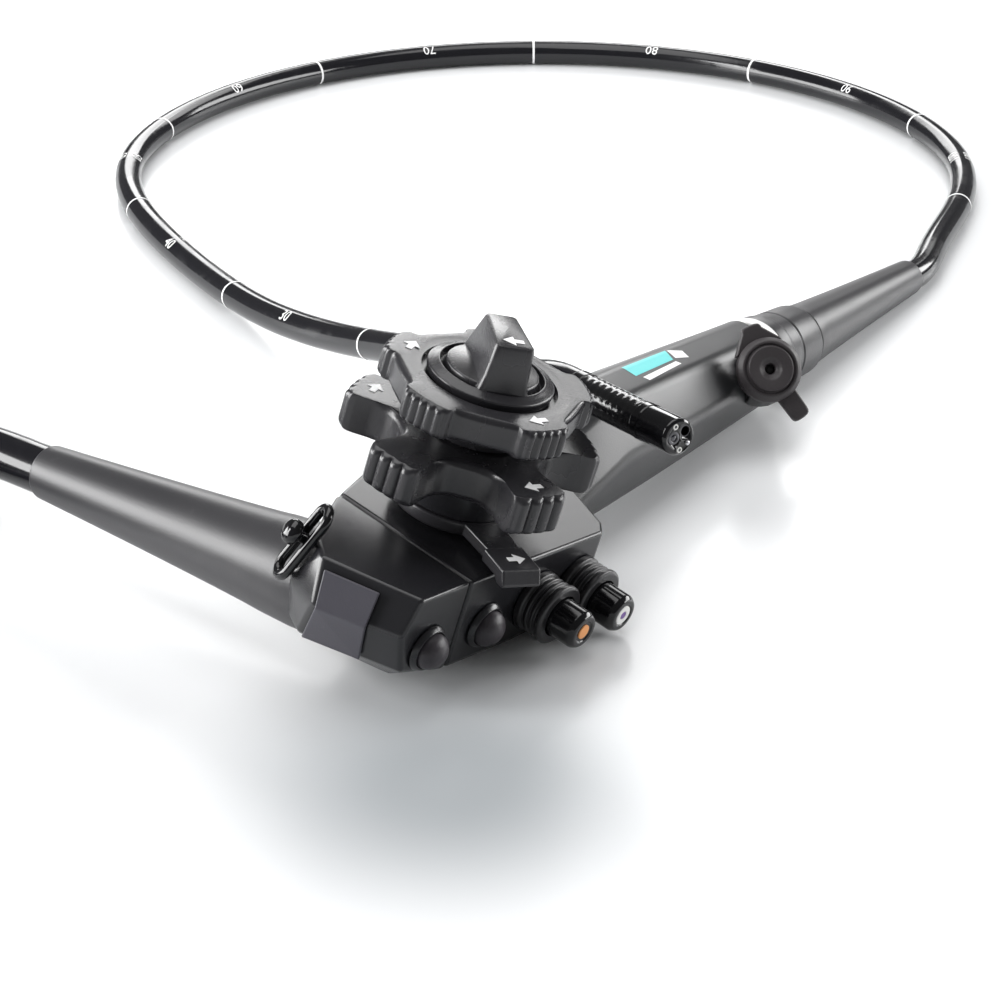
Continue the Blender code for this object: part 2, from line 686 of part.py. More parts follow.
# Buttons: a collar on the face and a rubber dome that travels in it
front = Vector((0.0, -1.0, 0.0))
button_names = ("freeze_button", "capture_button")
for x, name in zip(button_xs, button_names):
    face = Vector((x, head_front_y, button_z))
    collar_profile = ((button_radius + seat_gap, seat_gap), (button_collar_radius, seat_gap),
                      (button_collar_radius, 0.0009), (button_radius + 0.0009, 0.0019),
                      (button_radius + seat_gap, 0.0019))
    ring_piece = finish(name + "_collar", turned(collar_profile, 24, ring=True), button_rubber, control_body)
    aim(ring_piece, face, front)
    dome = [(0.0022, -0.0034), (0.0022, seat_gap + button_travel), (button_radius, seat_gap + button_travel),
            (button_radius, button_height - button_crown)]
    for step in range(1, 5):
        lean = math.radians(18 * step)
        dome.append((button_radius * math.cos(lean), button_height - button_crown * (1 - math.sin(lean))))
    dome.append((0.0008, button_height))
    button = finish(name, turned(dome, 24), button_rubber, control_body)
    aim(button, face, front)
    well = finish(name + "_well", turned(((0.0026, -0.0052), (0.0026, 0.0020)), 24), housing_black, control_body)
    aim(well, face, front)
    cut(head_end_cover if x < head_split_x else head_shell, well)

# Valves: a cylinder in the head, a ribbed collar outside, a cap with its piston
valve_names = ("suction_valve", "air_water_valve")
valve_depth = head_front_y - cavity_front_y
for x, name in zip(valve_xs, valve_names):
    face = Vector((x, head_front_y, valve_z))
    cylinder_outer = valve_stem_radius + running_gap + 0.0016
    cylinder = finish(name + "_cylinder", turned(
        ((valve_stem_radius + running_gap, valve_depth + 0.0008), (cylinder_outer, valve_depth + 0.0008),
         (cylinder_outer, -seat_gap), (valve_stem_radius + running_gap, -seat_gap)), 24, ring=True),
        steel, control_body)
    aim(cylinder, face, front)
    bore_cut = finish(name + "_bore", turned(((cylinder_outer + seat_gap, valve_depth - 0.0010),
                                              (cylinder_outer + seat_gap, 0.0010)), 24), steel, control_body)
    aim(bore_cut, face, front)
    cut(head_shell, bore_cut)
    inner = valve_cap_radius + 2 * running_gap
    groove = valve_collar_radius - 0.0009
    collar_profile = [(inner, seat_gap), (valve_collar_radius, seat_gap), (valve_collar_radius, 0.0018),
                      (groove, 0.0024)]
    for rib in range(2):
        low = 0.0030 + 0.0018 * rib
        collar_profile += [(groove, low), (valve_collar_radius - 0.0004, low + 0.0004),
                           (valve_collar_radius - 0.0004, low + 0.0010), (groove, low + 0.0014)]
    collar_profile += [(groove, valve_collar_length - 0.0022), (valve_collar_radius, valve_collar_length - 0.0016),
                       (valve_collar_radius, valve_collar_length - 0.0006),
                       (valve_collar_radius - 0.0008, valve_collar_length), (inner, valve_collar_length)]
    aim(finish(name + "_collar", turned(collar_profile, 24, ring=True), gloss_black, control_body), face, front)
    end = head_front_y - valve_cap_end_y
    cap_low = end - valve_cap_length
    cap = finish(name, turned(((valve_stem_radius, -valve_cap_length), (valve_stem_radius, cap_low),
                               (valve_cap_radius, cap_low), (valve_cap_radius, end - 0.0009),
                               (valve_cap_radius - 0.0009, end), (0.0030, end), (0.0027, end - 0.0004)), 24),
                 gloss_black, control_body)
    aim(cap, face, front)

# Instrument channel port: a boss that grows out of the grip, a metal tube and a rubber cap
port_root = port_cap_centre - port_axis * port_length
boss_top = port_length - 0.0100
boss = finish("port_boss", turned(((0.0078, 0.0060), (0.0094, boss_top - 0.0070),
                                   (0.0074, boss_top - 0.0004), (0.0070, boss_top)), 24), grip_black, control_body)
aim(boss, port_root, port_axis)
grip_envelope = finish("grip_envelope", loft([grip_section(x, seat_gap) for x in
                                              grip_stations[:-1] + [grip_end_x + wall]]), grip_black, control_body)
soften(grip_envelope, 0.0020, 2, 14.0)
cut(boss, grip_envelope)
port_bore = 0.0016
tube_top = port_length - 0.0020
port_tube = finish("port_tube", turned(((port_bore, boss_top + seat_gap),
                                        (port_tube_radius - 0.0010, boss_top + seat_gap),
                                        (port_tube_radius - 0.0010, boss_top + 0.0032),
                                        (port_tube_radius, boss_top + 0.0040),
                                        (port_tube_radius, tube_top), (port_bore, tube_top)), 24, ring=True),
                   steel, control_body)
aim(port_tube, port_root, port_axis)
cap_low = port_length - port_cap_thickness
cap_profile = ((port_tube_radius + seat_gap, cap_low + 0.0008), (port_cap_radius - 0.0018, cap_low),
               (port_cap_radius, cap_low + 0.0022), (port_cap_radius, port_length - 0.0026),
               (port_cap_radius - 0.0016, port_length - 0.0010), (port_cap_radius - 0.0020, port_length - 0.0014),
               (port_cap_radius - 0.0024, port_length - 0.0002), (0.0070, port_length),
               (0.0030, port_length - 0.0002), (port_bore, port_length - 0.0010),
               (port_bore, tube_top + seat_gap), (port_tube_radius + seat_gap, tube_top + seat_gap))
port_cap = finish("port_cap", turned(cap_profile, 28, ring=True), port_rubber, control_body)
aim(port_cap, port_root, port_axis)


def port_lug(name, towards, reach, wide_at_rim, wide_at_end, low, high):
    """Flat lug on the cap's side, between two heights along the port."""
    along = (Vector(towards) - port_axis * Vector(towards).dot(port_axis)).normalized()
    across = port_axis.cross(along)
    points = []
    for height in (low, high):
        for r, half in ((port_tube_radius + 0.0020, wide_at_rim / 2), (reach, wide_at_end / 2)):
            for side in (-half, half):
                points.append(port_root + port_axis * height + along * r + across * side)
    lug = finish(name, hull(points), port_rubber, control_body)
    soften(lug, 0.0005)
    cut(port_cap, lug, "UNION")


port_lug("port_tab_shape", (0.29, -0.73, -0.61), port_tab_reach, port_tab_width * 1.15, port_tab_width,
         port_length - 0.0056, port_length - 0.0032)
port_lug("port_strap_shape", (0.12, 0.84, 0.53), port_strap_reach, port_strap_width * 1.30, port_strap_width * 0.55,
         cap_low + 0.0006, port_length - 0.0036)

# Universal cord boot: socket on the head, flange and a long tapering boot
cord_line = Vector((0.016, 0.9995, 0.008)).normalized()
socket = finish("cord_socket", turned(((cord_boot_radius - 0.0004, -0.0170), (cord_boot_radius - 0.0004, -seat_gap)), 32),
                housing_black, endoscope)
aim(socket, cord_boot_base, cord_line)
for maker, name in ((head_main_points, "head_envelope"), (head_end_points, "end_envelope")):
    envelope = finish(name, hull(maker(0.0006)), housing_black, control_body)
    soften(envelope, head_edge_radius)
    cut(socket, envelope)
cord_bore = cord_diameter / 2 + seat_gap
profile = [(cord_bore, 0.0), (cord_boot_radius + 0.0010, 0.0), (cord_boot_radius + 0.0010, 0.0022),
           (cord_boot_radius, 0.0030)]
for station in range(1, 7):
    share = station / 6
    profile.append((cord_boot_radius - (cord_boot_radius - cord_boot_tip_radius) * share ** 0.8,
                    0.0030 + (cord_boot_length - 0.0036) * share))
profile += [(cord_boot_tip_radius - 0.0004, cord_boot_length), (cord_bore, cord_boot_length)]
cord_boot = finish("cord_boot", turned(profile, 28, ring=True), boot_rubber, endoscope)
aim(cord_boot, cord_boot_base, cord_line)

# Hanger: a bracket with a ball on the head's back corner and a glossy elongated ring
corner_top = Vector(end_top[2])
corner_along = (corner_top - Vector(end_top[1])).normalized()
corner_down = Vector(end_middle[2]) - corner_top
hanger_out = corner_along.cross(corner_down).normalized()
hanger_up = corner_along.cross(hanger_out).normalized()
hanger_place = corner_top - corner_along * hanger_from_corner - hanger_up * hanger_from_top
hanger_bracket = finish("hanger_bracket", turned(((0.0016, -0.0006), (0.0016, 0.0030), (0.0020, 0.0036),
                                                  (0.0028, 0.0048), (0.0028, 0.0060), (0.0018, 0.0072)), 16),
                        gloss_black, control_body)
aim(hanger_bracket, hanger_place, hanger_out)
bracket_envelope = finish("bracket_envelope", hull(head_end_points(seat_gap)), housing_black, control_body)
soften(bracket_envelope, head_edge_radius)
cut(hanger_bracket, bracket_envelope)


def hanger_loop():
    wire_r, half_width, half_length = hanger_wire_radius, hanger_loop_width / 2, hanger_loop_length / 2
    rings = []
    for step in range(24):
        angle = 2 * math.pi * step / 24
        straight = (half_length - half_width) * (1 if math.sin(angle) >= 0 else -1)
        centre = Vector((half_width * math.cos(angle), half_width * math.sin(angle) + straight - hanger_loop_drop, 0.0))
        outward = Vector((math.cos(angle), math.sin(angle), 0.0))
        rings.append([centre + outward * (wire_r * math.cos(math.radians(60 * i)))
                      + Vector((0.0, 0.0, wire_r * math.sin(math.radians(60 * i)))) for i in range(6)])
    return loft(rings, looped=True)


hanger_ring = finish("hanger_ring", hanger_loop(), gloss_black, control_body)
hanger_frame = Matrix((hanger_up.cross(hanger_out), hanger_up, hanger_out)).transposed().to_4x4()
hanger_ring.matrix_local = Matrix.Translation(hanger_place + hanger_out * (hanger_wire_radius + 2 * seat_gap)) @ hanger_frame

# Insertion tube from its boot round the table to the bending section
control_matrix = Matrix.Translation((0.0, 0.0, body_height)) @ \
    Matrix.Rotation(body_pitch, 4, "Y") @ Matrix.Rotation(body_roll, 4, "X")
boot_mouth = control_matrix @ (on_grip(boot_start) + boot_line * (insertion_boot_length - 0.0120))
boot_exit = control_matrix @ (on_grip(boot_start) + boot_line * (insertion_boot_length + 0.0100))
bend_start = tip_face - tip_direction * (tip_length + (link_count + 1) * link_pitch)
ferrule_length = 0.0060
tube_end = bend_start - tip_direction * (ferrule_length + seat_gap)
tube_approach = tube_end - tip_direction * 0.0080
insertion_points = smooth_route([boot_mouth, boot_exit, *tube_route, tube_approach], 0.0205) + [tube_end]
insertion_tube = cord("insertion_tube", insertion_points, tube_diameter, gloss_black, 3)

# Universal cord, its coil and its run to the connector
boot_tip = cord_boot_base + cord_line * (cord_boot_length - 0.0100)
boot_beyond = cord_boot_base + cord_line * (cord_boot_length + 0.0080)
universal_points = smooth_route([boot_tip, boot_beyond, *cord_route], 0.0120)
universal_cord = cord("universal_cord", universal_points, cord_diameter, gloss_black, 2)
half_cord = cord_diameter / 2
coil_outer = coil_inner_turn_radius + 3 * half_cord
coil_inner = coil_inner_turn_radius - half_cord
coil_top = cord_diameter + coil_layers_rise
coil_profile = ((coil_inner, 0.0030), (coil_inner + 0.0030, 0.0), (coil_outer - 0.0030, 0.0), (coil_outer, 0.0030),
                (coil_outer, 0.0110), (coil_outer - half_cord + 0.0010, coil_top - 0.0020),
                (coil_outer - half_cord - 0.0020, coil_top), (coil_inner + half_cord + 0.0020, coil_top),
                (coil_inner + half_cord - 0.0010, coil_top - 0.0020), (coil_inner, 0.0110))
cord_coil = finish("cord_coil", turned(coil_profile, 48, ring=True), gloss_black, endoscope)
cord_coil.location = coil_centre
cord_names.append("cord_coil")

# Light guide connector on the far end: boot, body, locking ring, light guide pin, air pipe
connector_line = Vector((0.0, -1.0, 0.0))


def connector_piece(name, profile, material, start, offset=(0.0, 0.0), ring=False, steps=24):
    made = finish(name, turned(profile, steps, ring=ring), material, endoscope)
    place = Vector((connector_x + offset[0], connector_back_y - start, connector_height + offset[1]))
    aim(made, place, connector_line)
    cord_names.append(name)
    return made


connector_piece("connector_boot", ((0.0082, -connector_boot_length), (0.0090, -connector_boot_length + 0.0010),
                                   (0.0120, -0.0100), (0.0150, -seat_gap), (0.0076, -seat_gap),
                                   (0.0076, -connector_boot_length)), boot_rubber, 0.0, ring=True)
connector_piece("connector_body", ((0.0150, 0.0), (0.0175, 0.0015), (connector_radius, 0.0100),
                                   (connector_radius, connector_length - 0.0060),
                                   (connector_radius - 0.0030, connector_length)), housing_black, 0.0)
connector_piece("connector_ring", ((0.0060, connector_length + seat_gap), (0.0165, connector_length + seat_gap),
                                   (0.0165, connector_length + 0.0110), (0.0155, connector_length + 0.0120),
                                   (0.0060, connector_length + 0.0120)), steel, 0.0, ring=True)
connector_piece("light_guide_pin", ((0.0055, connector_length + seat_gap), (0.0055, connector_length + 0.0280),
                                    (0.0044, connector_length + 0.0300), (0.0044, connector_length + 0.0440),
                                    (0.0038, connector_length + 0.0450)), steel, 0.0, steps=24)
connector_piece("air_pipe", ((0.0012, 0.0), (0.0019, 0.0), (0.0019, 0.0150), (0.0012, 0.0150)), steel,
                connector_length + 0.0120 + seat_gap, offset=(0.0095, 0.0040), ring=True, steps=16)


# Bending section: vertebra links, each hinged on the one before it

bend_side = tip_direction.cross(Vector((0.0, 0.0, 1.0))).normalized()
bend_up = bend_side.cross(tip_direction).normalized()
bend_frame = Matrix((tip_direction, -bend_side, bend_up)).transposed().to_4x4()
link_inner = link_radius - link_wall


def chamfered(radius, x, lean, steps=16):
    """Ring of points whose plane folds back from the hinge line, further on the up side."""
    ring = []
    for i in range(steps):
        angle = 2 * math.pi * i / steps
        y, z = radius * math.cos(angle), radius * math.sin(angle)
        fold = math.tan(link_up_chamfer) if z > 0 else math.tan(link_down_chamfer)
        ring.append((x + lean * abs(z) * fold, y, z))
    return ring


def link_mesh(length):
    near, far = link_gap, length - link_gap
    rings = [chamfered(link_inner, near, 1), chamfered(link_radius, near, 1),
             chamfered(link_radius, far, -1), chamfered(link_inner, far, -1)]
    return loft(rings, looped=True)


def in_bend_frame(made, along):
    made.matrix_local = Matrix.Translation(bend_start + tip_direction * along) @ bend_frame
    return made


ferrule_rings = [circle_ring for circle_ring in (
    [(-ferrule_length, y, z) for _, y, z in chamfered(link_inner, 0.0, 0)],
    [(-ferrule_length, y, z) for _, y, z in chamfered(tube_diameter / 2, 0.0, 0)],
    [(-0.0022, y, z) for _, y, z in chamfered(tube_diameter / 2, 0.0, 0)],
    [(-0.0020, y, z) for _, y, z in chamfered(link_radius, 0.0, 0)],
    chamfered(link_radius, -link_gap, -1), chamfered(link_inner, -link_gap, -1))]
in_bend_frame(finish("tube_ferrule", loft(ferrule_rings, looped=True), gloss_black, endoscope), 0.0)
for number in range(link_count):
    link = finish(f"bending_link_{number + 1}", link_mesh(link_pitch), steel, endoscope)
    in_bend_frame(link, number * link_pitch)

# Distal tip with its lens, light guides, channel and nozzle
tip_origin = link_count * link_pitch
tip_total = tip_length + link_pitch
tip_radius = tube_diameter / 2
channel_radius = 0.0016
collar_x = 0.0026


def flat_ring(radius, x):
    return [(x, y, z) for _, y, z in chamfered(radius, 0.0, 0)]


tip_rings = [chamfered(link_radius, link_gap, 1), flat_ring(link_radius, collar_x),
             flat_ring(tip_radius, collar_x + 0.0004), flat_ring(tip_radius, tip_total - 0.0005),
             flat_ring(tip_radius - 0.0005, tip_total)]
tip_shape = loft(tip_rings)
bmesh.ops.triangulate(tip_shape, faces=[face for face in tip_shape.faces if len(face.verts) > 4])
distal_tip = in_bend_frame(finish("distal_tip", tip_shape, gloss_black, endoscope), tip_origin)
tip_fittings = (("objective_lens", 0.00135, 0.0000, -0.0010, glass, 0.0016),
                ("light_guide_upper", 0.00080, -0.0006, 0.0026, light_white, 0.0020),
                ("light_guide_lower", 0.00080, 0.0012, -0.0034, light_white, 0.0020),
                ("channel", channel_radius, -0.0026, 0.0004, steel, 0.0090),
                ("water_nozzle", 0.00070, -0.0026, -0.0022, steel, 0.0018))
for name, radius, y, z, material, depth in tip_fittings:
    hole = finish(name + "_hole", turned(((radius + running_gap, -depth), (radius + running_gap, 0.0020)), 16),
                  material, endoscope)
    spot = bend_frame.to_3x3() @ Vector((tip_total, y, z))
    aim(hole, bend_start + tip_direction * tip_origin + spot, tip_direction)
    cut(distal_tip, hole)
    if name == "channel":
        continue
    proud = 0.0005 if name == "water_nozzle" else 0.0
    fitting = finish(name, turned(((radius, -depth + running_gap), (radius, proud - 0.0002),
                                   (radius - 0.0002, proud)), 16), material, endoscope)
    aim(fitting, hole.location, tip_direction)


# Stand the instrument on its origin: centre of its box without the cords, foot at zero

def settle():
    bpy.context.view_layer.update()
    depsgraph = bpy.context.evaluated_depsgraph_get()
    corners = []
    for thing in bpy.context.scene.objects:
        if thing.type != "MESH" or thing.hide_render or thing.name in cord_names:
            continue
        evaluated = thing.evaluated_get(depsgraph)
        mesh = evaluated.to_mesh()
        corners += [evaluated.matrix_world @ vertex.co for vertex in mesh.vertices]
        evaluated.to_mesh_clear()
    low = [min(corner[axis] for corner in corners) for axis in range(3)]
    high = [max(corner[axis] for corner in corners) for axis in range(3)]
    endoscope.location = (-(low[0] + high[0]) / 2, -(low[1] + high[1]) / 2, -low[2])
    bpy.context.view_layer.update()


settle()
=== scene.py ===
import json
from math import copysign, cos, pi, radians, sin, sqrt
import bmesh
import bpy
import numpy as np
from mathutils import Euler, Matrix, Vector
from mathutils.bvhtree import BVHTree


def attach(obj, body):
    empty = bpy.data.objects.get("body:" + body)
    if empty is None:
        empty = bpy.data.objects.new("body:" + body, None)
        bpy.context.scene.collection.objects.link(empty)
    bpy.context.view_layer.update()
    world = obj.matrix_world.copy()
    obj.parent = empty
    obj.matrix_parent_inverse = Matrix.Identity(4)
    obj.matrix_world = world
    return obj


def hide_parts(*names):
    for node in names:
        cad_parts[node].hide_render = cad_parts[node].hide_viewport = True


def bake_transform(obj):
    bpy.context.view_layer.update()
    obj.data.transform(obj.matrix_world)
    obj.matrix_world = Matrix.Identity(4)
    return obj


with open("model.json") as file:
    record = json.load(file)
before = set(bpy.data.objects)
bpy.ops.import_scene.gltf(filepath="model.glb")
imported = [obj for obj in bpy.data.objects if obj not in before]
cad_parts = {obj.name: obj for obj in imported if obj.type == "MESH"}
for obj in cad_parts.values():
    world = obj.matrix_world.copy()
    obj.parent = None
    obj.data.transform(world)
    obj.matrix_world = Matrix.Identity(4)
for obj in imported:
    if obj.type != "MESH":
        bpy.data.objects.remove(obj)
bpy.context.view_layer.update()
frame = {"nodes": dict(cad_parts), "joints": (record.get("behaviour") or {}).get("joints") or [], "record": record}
joints = {joint["name"]: joint for joint in frame["joints"]}

# where the control body lies; the same lean and height as in the part's source
lying = {"roll": radians(14.01), "pitch": radians(7.54), "height": 0.0337}
wheelAxisFoot = Vector(joints["ud_turn"]["pos_m"])
head = Matrix.Translation(wheelAxisFoot) @ Euler((lying["roll"], lying["pitch"], 0)).to_matrix().to_4x4()
table = Vector((wheelAxisFoot.x, wheelAxisFoot.y, wheelAxisFoot.z - lying["height"]))


def shown(name, data):
    made = bpy.data.objects.new(name, data)
    bpy.context.scene.collection.objects.link(made)
    return made


# camera and studio

studio = {
    "cameraAt": (-0.4977, -0.4079, 0.34055), "looks": (0.7112, 0.5587, -0.4267), "lens": 98.76,
    "floorFrom": -4, "floorTo": 6, "floor": (0.84, 0.85, 0.86), "floorRoughness": 0.28,
    # shade, shadeAt, shadeFrom and shadeTo: a soft shadow painted into the table's colour in front of the control
    # head
    "shade": (0.35, 0.37, 0.385), "shadeAt": (-0.06, -0.05, 0), "shadeFrom": 0.01, "shadeTo": 0.08,
    "fadeFrom": 0.95, "fadeTo": 1.6, "ambient": 0.22, "seenMore": 0.78, "glossyLess": 0.1,
}
view = bpy.data.cameras.new("photoCamera")
view.lens = studio["lens"]
view.sensor_width = 36
view.clip_start = 0.01
camera = shown("photoCamera", view)
camera.location = table + Vector(studio["cameraAt"])
camera.rotation_euler = Vector(studio["looks"]).to_track_quat("-Z", "Y").to_euler()
bpy.context.scene.camera = camera
bpy.context.scene.view_settings.view_transform = "Standard"
print("camera stands where the photograph was taken")


class Wire:
    # one socket of a shader, so that its maths reads as sums
    def __init__(self, tree, socket):
        self.tree, self.socket = tree, socket

    def join(self, operation, other, turned=False):
        node = self.tree.nodes.new("ShaderNodeMath")
        node.operation = operation
        for place, value in zip((1, 0) if turned else (0, 1), (self, other)):
            if isinstance(value, Wire):
                self.tree.links.new(value.socket, node.inputs[place])
            else:
                node.inputs[place].default_value = value
        return Wire(self.tree, node.outputs[0])

    def __add__(self, other):
        return self.join("ADD", other)

    def __radd__(self, other):
        return self.join("ADD", other, True)

    def __sub__(self, other):
        return self.join("SUBTRACT", other)

    def __rsub__(self, other):
        return self.join("SUBTRACT", other, True)

    def __mul__(self, other):
        return self.join("MULTIPLY", other)

    def __rmul__(self, other):
        return self.join("MULTIPLY", other, True)

    def __gt__(self, other):
        return self.join("GREATER_THAN", other)


class Finish:
    # a material being put together: node() makes any node, surface() fills the shader
    def __init__(self, name):
        self.material = bpy.data.materials.new(name)
        self.material.use_nodes = True
        self.tree = self.material.node_tree
        self.shader = self.tree.nodes["Principled BSDF"]

    def fill(self, socket, value):
        if isinstance(value, Wire):
            self.tree.links.new(value.socket, socket)
        elif hasattr(value, "__len__") and len(value) == 3 and socket.type == "RGBA":
            socket.default_value = (*value, 1)
        else:
            socket.default_value = value

    def node(self, kind, settings=None, out=0, **sockets):
        made = self.tree.nodes.new("ShaderNode" + kind)
        for key, value in (settings or {}).items():
            setattr(made, key, value)
        for key, value in sockets.items():
            spot = int(key[1:]) if key[0] == "i" and key[1:].isdigit() else key.replace("_", " ")
            self.fill(made.inputs[spot], value)
        return Wire(self.tree, made.outputs[out])

    def place(self):
        # the object's own coordinates
        return self.node("TexCoord", out=3)

    def noise(self, scale, detail, rough=0.5):
        return self.node("TexNoise", Vector=self.place(), Scale=scale, Detail=detail, Roughness=rough)

    def blend(self, share, first, second):
        return self.node("Mix", {"data_type": "RGBA"}, out=2, i0=share, i6=first, i7=second)

    def bump(self, height, strength, distance):
        return self.node("Bump", Height=height, Strength=strength, Distance=distance)

    def surface(self, **sockets):
        for key, value in sockets.items():
            self.fill(self.shader.inputs[key.replace("_", " ")], value)
        return self.material


def mouldedPlastic(name, colour, roughness, grain, cloud, depth, wear, cloudScale=38.0, wearScale=150.0,
                   wornAbove=0.66):
    # fine spark-eroded grain, faint cloudiness in the gloss and handling wear
    finish = Finish(name)
    grains = finish.noise(grain, 2.0)
    clouds = finish.noise(cloudScale, 4.0)
    rubbed = finish.noise(wearScale, 6.0, 0.6)
    dust = (rubbed > wornAbove) * wear
    worn = [min(1, c * 2.2 + 0.02) for c in colour]
    tone = finish.blend(dust + clouds * 0.25, colour, worn)
    rough = roughness + (clouds - 0.5) * cloud + dust * 0.3
    return finish.surface(Base_Color=tone, Roughness=rough, Normal=finish.bump(grains, depth, 0.0003))


def glossySkin(name, colour, roughness, peel, smear, depth, coat=0.0, smearScale=60.0, smearAbove=0.55):
    # polished polymer: long clean reflections with a slight orange peel
    finish = Finish(name)
    ripple = finish.noise(peel, 2.0)
    smudge = finish.noise(smearScale, 5.0, 0.6)
    rough = roughness + (smudge > smearAbove) * smear
    return finish.surface(Base_Color=colour, Roughness=rough, Normal=finish.bump(ripple, depth, 0.0004),
                          Coat_Weight=coat, Coat_Roughness=0.05)


def brushedMetal(name, colour, roughness, streakScale=900.0):
    finish = Finish(name)
    streaks = finish.noise(streakScale, 2.0)
    tone = finish.blend(streaks * 0.5, colour, [c * 0.7 for c in colour])
    return finish.surface(Base_Color=tone, Metallic=1.0, Roughness=roughness + streaks * 0.15,
                          Normal=finish.bump(streaks, 0.15, 0.0002))


def enamel(name, colour, roughness, speckScale=700.0):
    # printed mark or moulded light plastic with a little unevenness
    finish = Finish(name)
    specks = finish.noise(speckScale, 3.0)
    tone = finish.blend(specks * 0.35, colour, [c * 0.8 for c in colour])
    return finish.surface(Base_Color=tone, Roughness=roughness + specks * 0.1,
                          Normal=finish.bump(specks, 0.05, 0.0002))


# colour and roughness, then grain, cloud, depth and wear for a plastic, and peel, smear and depth for a skin
finishes = {
    "housing": mouldedPlastic("headHousing", (0.011, 0.011, 0.013), 0.26, 2600.0, 0.04, 0.03, 0.02),
    "grip": mouldedPlastic("gripShell", (0.015, 0.0155, 0.017), 0.34, 2200.0, 0.1, 0.12, 0.12),
    # end panel: its own matte plastic, coloured lighter than the housing partly as painted reflection of the light
    # its facets catch
    "panel": mouldedPlastic("endPanelPaintedSheen", (0.05, 0.048, 0.06), 0.42, 1800.0, 0.08, 0.14, 0.1),
    "wheel": mouldedPlastic("softTouchWheel", (0.018, 0.0175, 0.02), 0.27, 2000.0, 0.1, 0.12, 0.15),
    "button": mouldedPlastic("buttonRubber", (0.024, 0.02, 0.025), 0.45, 1500.0, 0.06, 0.22, 0.1),
    "boot": mouldedPlastic("bootRubber", (0.024, 0.0235, 0.026), 0.36, 1500.0, 0.08, 0.1, 0.1),
    "port": mouldedPlastic("portRubber", (0.028, 0.024, 0.026), 0.5, 1500.0, 0.06, 0.2, 0.08),
    "gloss": glossySkin("glossBlack", (0.006, 0.006, 0.007), 0.1, 300.0, 0.05, 0.03),
    "seal": mouldedPlastic("valveCollar", (0.014, 0.0135, 0.015), 0.3, 1800.0, 0.08, 0.1, 0.08),
    "skin": glossySkin("tubeSkin", (0.008, 0.008, 0.01), 0.13, 420.0, 0.06, 0.05),
    "rubber": glossySkin("bendingRubber", (0.007, 0.007, 0.008), 0.16, 900.0, 0.08, 0.2),
    "darkMetal": brushedMetal("darkMetal", (0.16, 0.16, 0.17), 0.25),
    "steel": brushedMetal("stainlessSteel", (0.62, 0.62, 0.64), 0.22),
    "brass": brushedMetal("turnedBrass", (0.72, 0.55, 0.28), 0.26),
    "white": enamel("whiteRing", (0.86, 0.86, 0.84), 0.25),
    "mark": enamel("whiteMark", (0.88, 0.88, 0.88), 0.4),
    "orange": enamel("orangeDot", (0.85, 0.36, 0.12), 0.35),
    "purple": enamel("purpleDot", (0.18, 0.09, 0.34), 0.3),
    "teal": enamel("tealStripe", (0.1, 0.62, 0.62), 0.35),
    "glass": glossySkin("lensGlass", (0.01, 0.01, 0.022), 0.03, 80.0, 0.0, 0.0, coat=1.0),
    "light": enamel("fibreEnds", (0.86, 0.86, 0.82), 0.15),
    # hole: near-black, painted shade for the dark deep in a hole
    "hole": mouldedPlastic("paintedHoleShade", (0.004, 0.004, 0.004), 0.7, 900.0, 0.05, 0.05, 0.0),
}
nodeFinish = {
    "housing_black": "housing", "grip_black": "grip", "wheel_grey": "wheel", "button_rubber": "button",
    "gloss_black": "gloss", "boot_rubber": "boot", "port_rubber": "port", "ring_white": "white",
    "steel": "steel", "brass": "brass", "glass": "glass", "light_white": "light",
}
slotOf = {entry["node"]: entry["material_slot"] for entry in frame["record"]["subparts"]}
for name, node in frame["nodes"].items():
    for place in node.material_slots:
        place.material = finishes[nodeFinish[slotOf[name]]]
print("finishes are on the frame")


# shapes

onAxis = 0.00002  # radius at which a closed end of a turned piece meets its axis


def piece(name, shape, finish, body, place=None, stands=(), smooth=35.0):
    # rides on its body, and takes the place of the CAD nodes it stands for, which it hides
    bmesh.ops.recalc_face_normals(shape, faces=shape.faces[:])
    mesh = bpy.data.meshes.new(name)
    shape.to_mesh(mesh)
    shape.free()
    mesh.materials.append(finishes[finish])
    mesh.shade_smooth()
    mesh.set_sharp_from_angle(angle=radians(smooth))
    made = shown(name, mesh)
    made.matrix_world = place if place is not None else head
    if body:
        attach(made, body)
    if stands:
        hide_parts(*stands)
    return made


def loft(rings, looped=False):
    shape = bmesh.new()
    rows = [[shape.verts.new(point) for point in ring] for ring in rings]
    for first, second in list(zip(rows, rows[1:])) + ([(rows[-1], rows[0])] if looped else []):
        for i in range(len(first)):
            j = (i + 1) % len(first)
            shape.faces.new((first[i], first[j], second[j], second[i]))
    if not looped:
        for row in (rows[0], rows[-1]):
            shape.faces.new(row)
    return shape


def around(steps):
    return [2 * pi * i / steps for i in range(steps)]


def turned(profile, steps=64, ring=False):
    return loft([[(r * cos(a), r * sin(a), z) for a in around(steps)] for r, z in profile], ring)


def rounded(corners, radius, steps=4):
    # a profile with its inner corners rounded off
    done = [corners[0]]
    for before, corner, after in zip(corners, corners[1:], corners[2:]):
        a, b, c = Vector(before), Vector(corner), Vector(after)
        reach = min(radius, (a - b).length * 0.45, (c - b).length * 0.45)
        start, end = b + (a - b).normalized() * reach, b + (c - b).normalized() * reach
        for i in range(steps + 1):
            t = i / steps
            done.append(tuple(start * (1 - t) ** 2 + b * 2 * t * (1 - t) + end * t * t))
    return done + [corners[-1]]


def spun(name, profile, soft, finish, body, place, stands=(), steps=96, ring=True):
    # a turned piece; a ring is open in the middle, and the others are closed at both ends
    shape = turned(rounded(profile, soft), steps, ring)
    return piece(name, shape, finish, body, place, stands)


def pointing(origin, direction):
    turn = Vector(direction).to_track_quat("Z", "Y").to_matrix().to_4x4()
    return Matrix.Translation(origin) @ turn


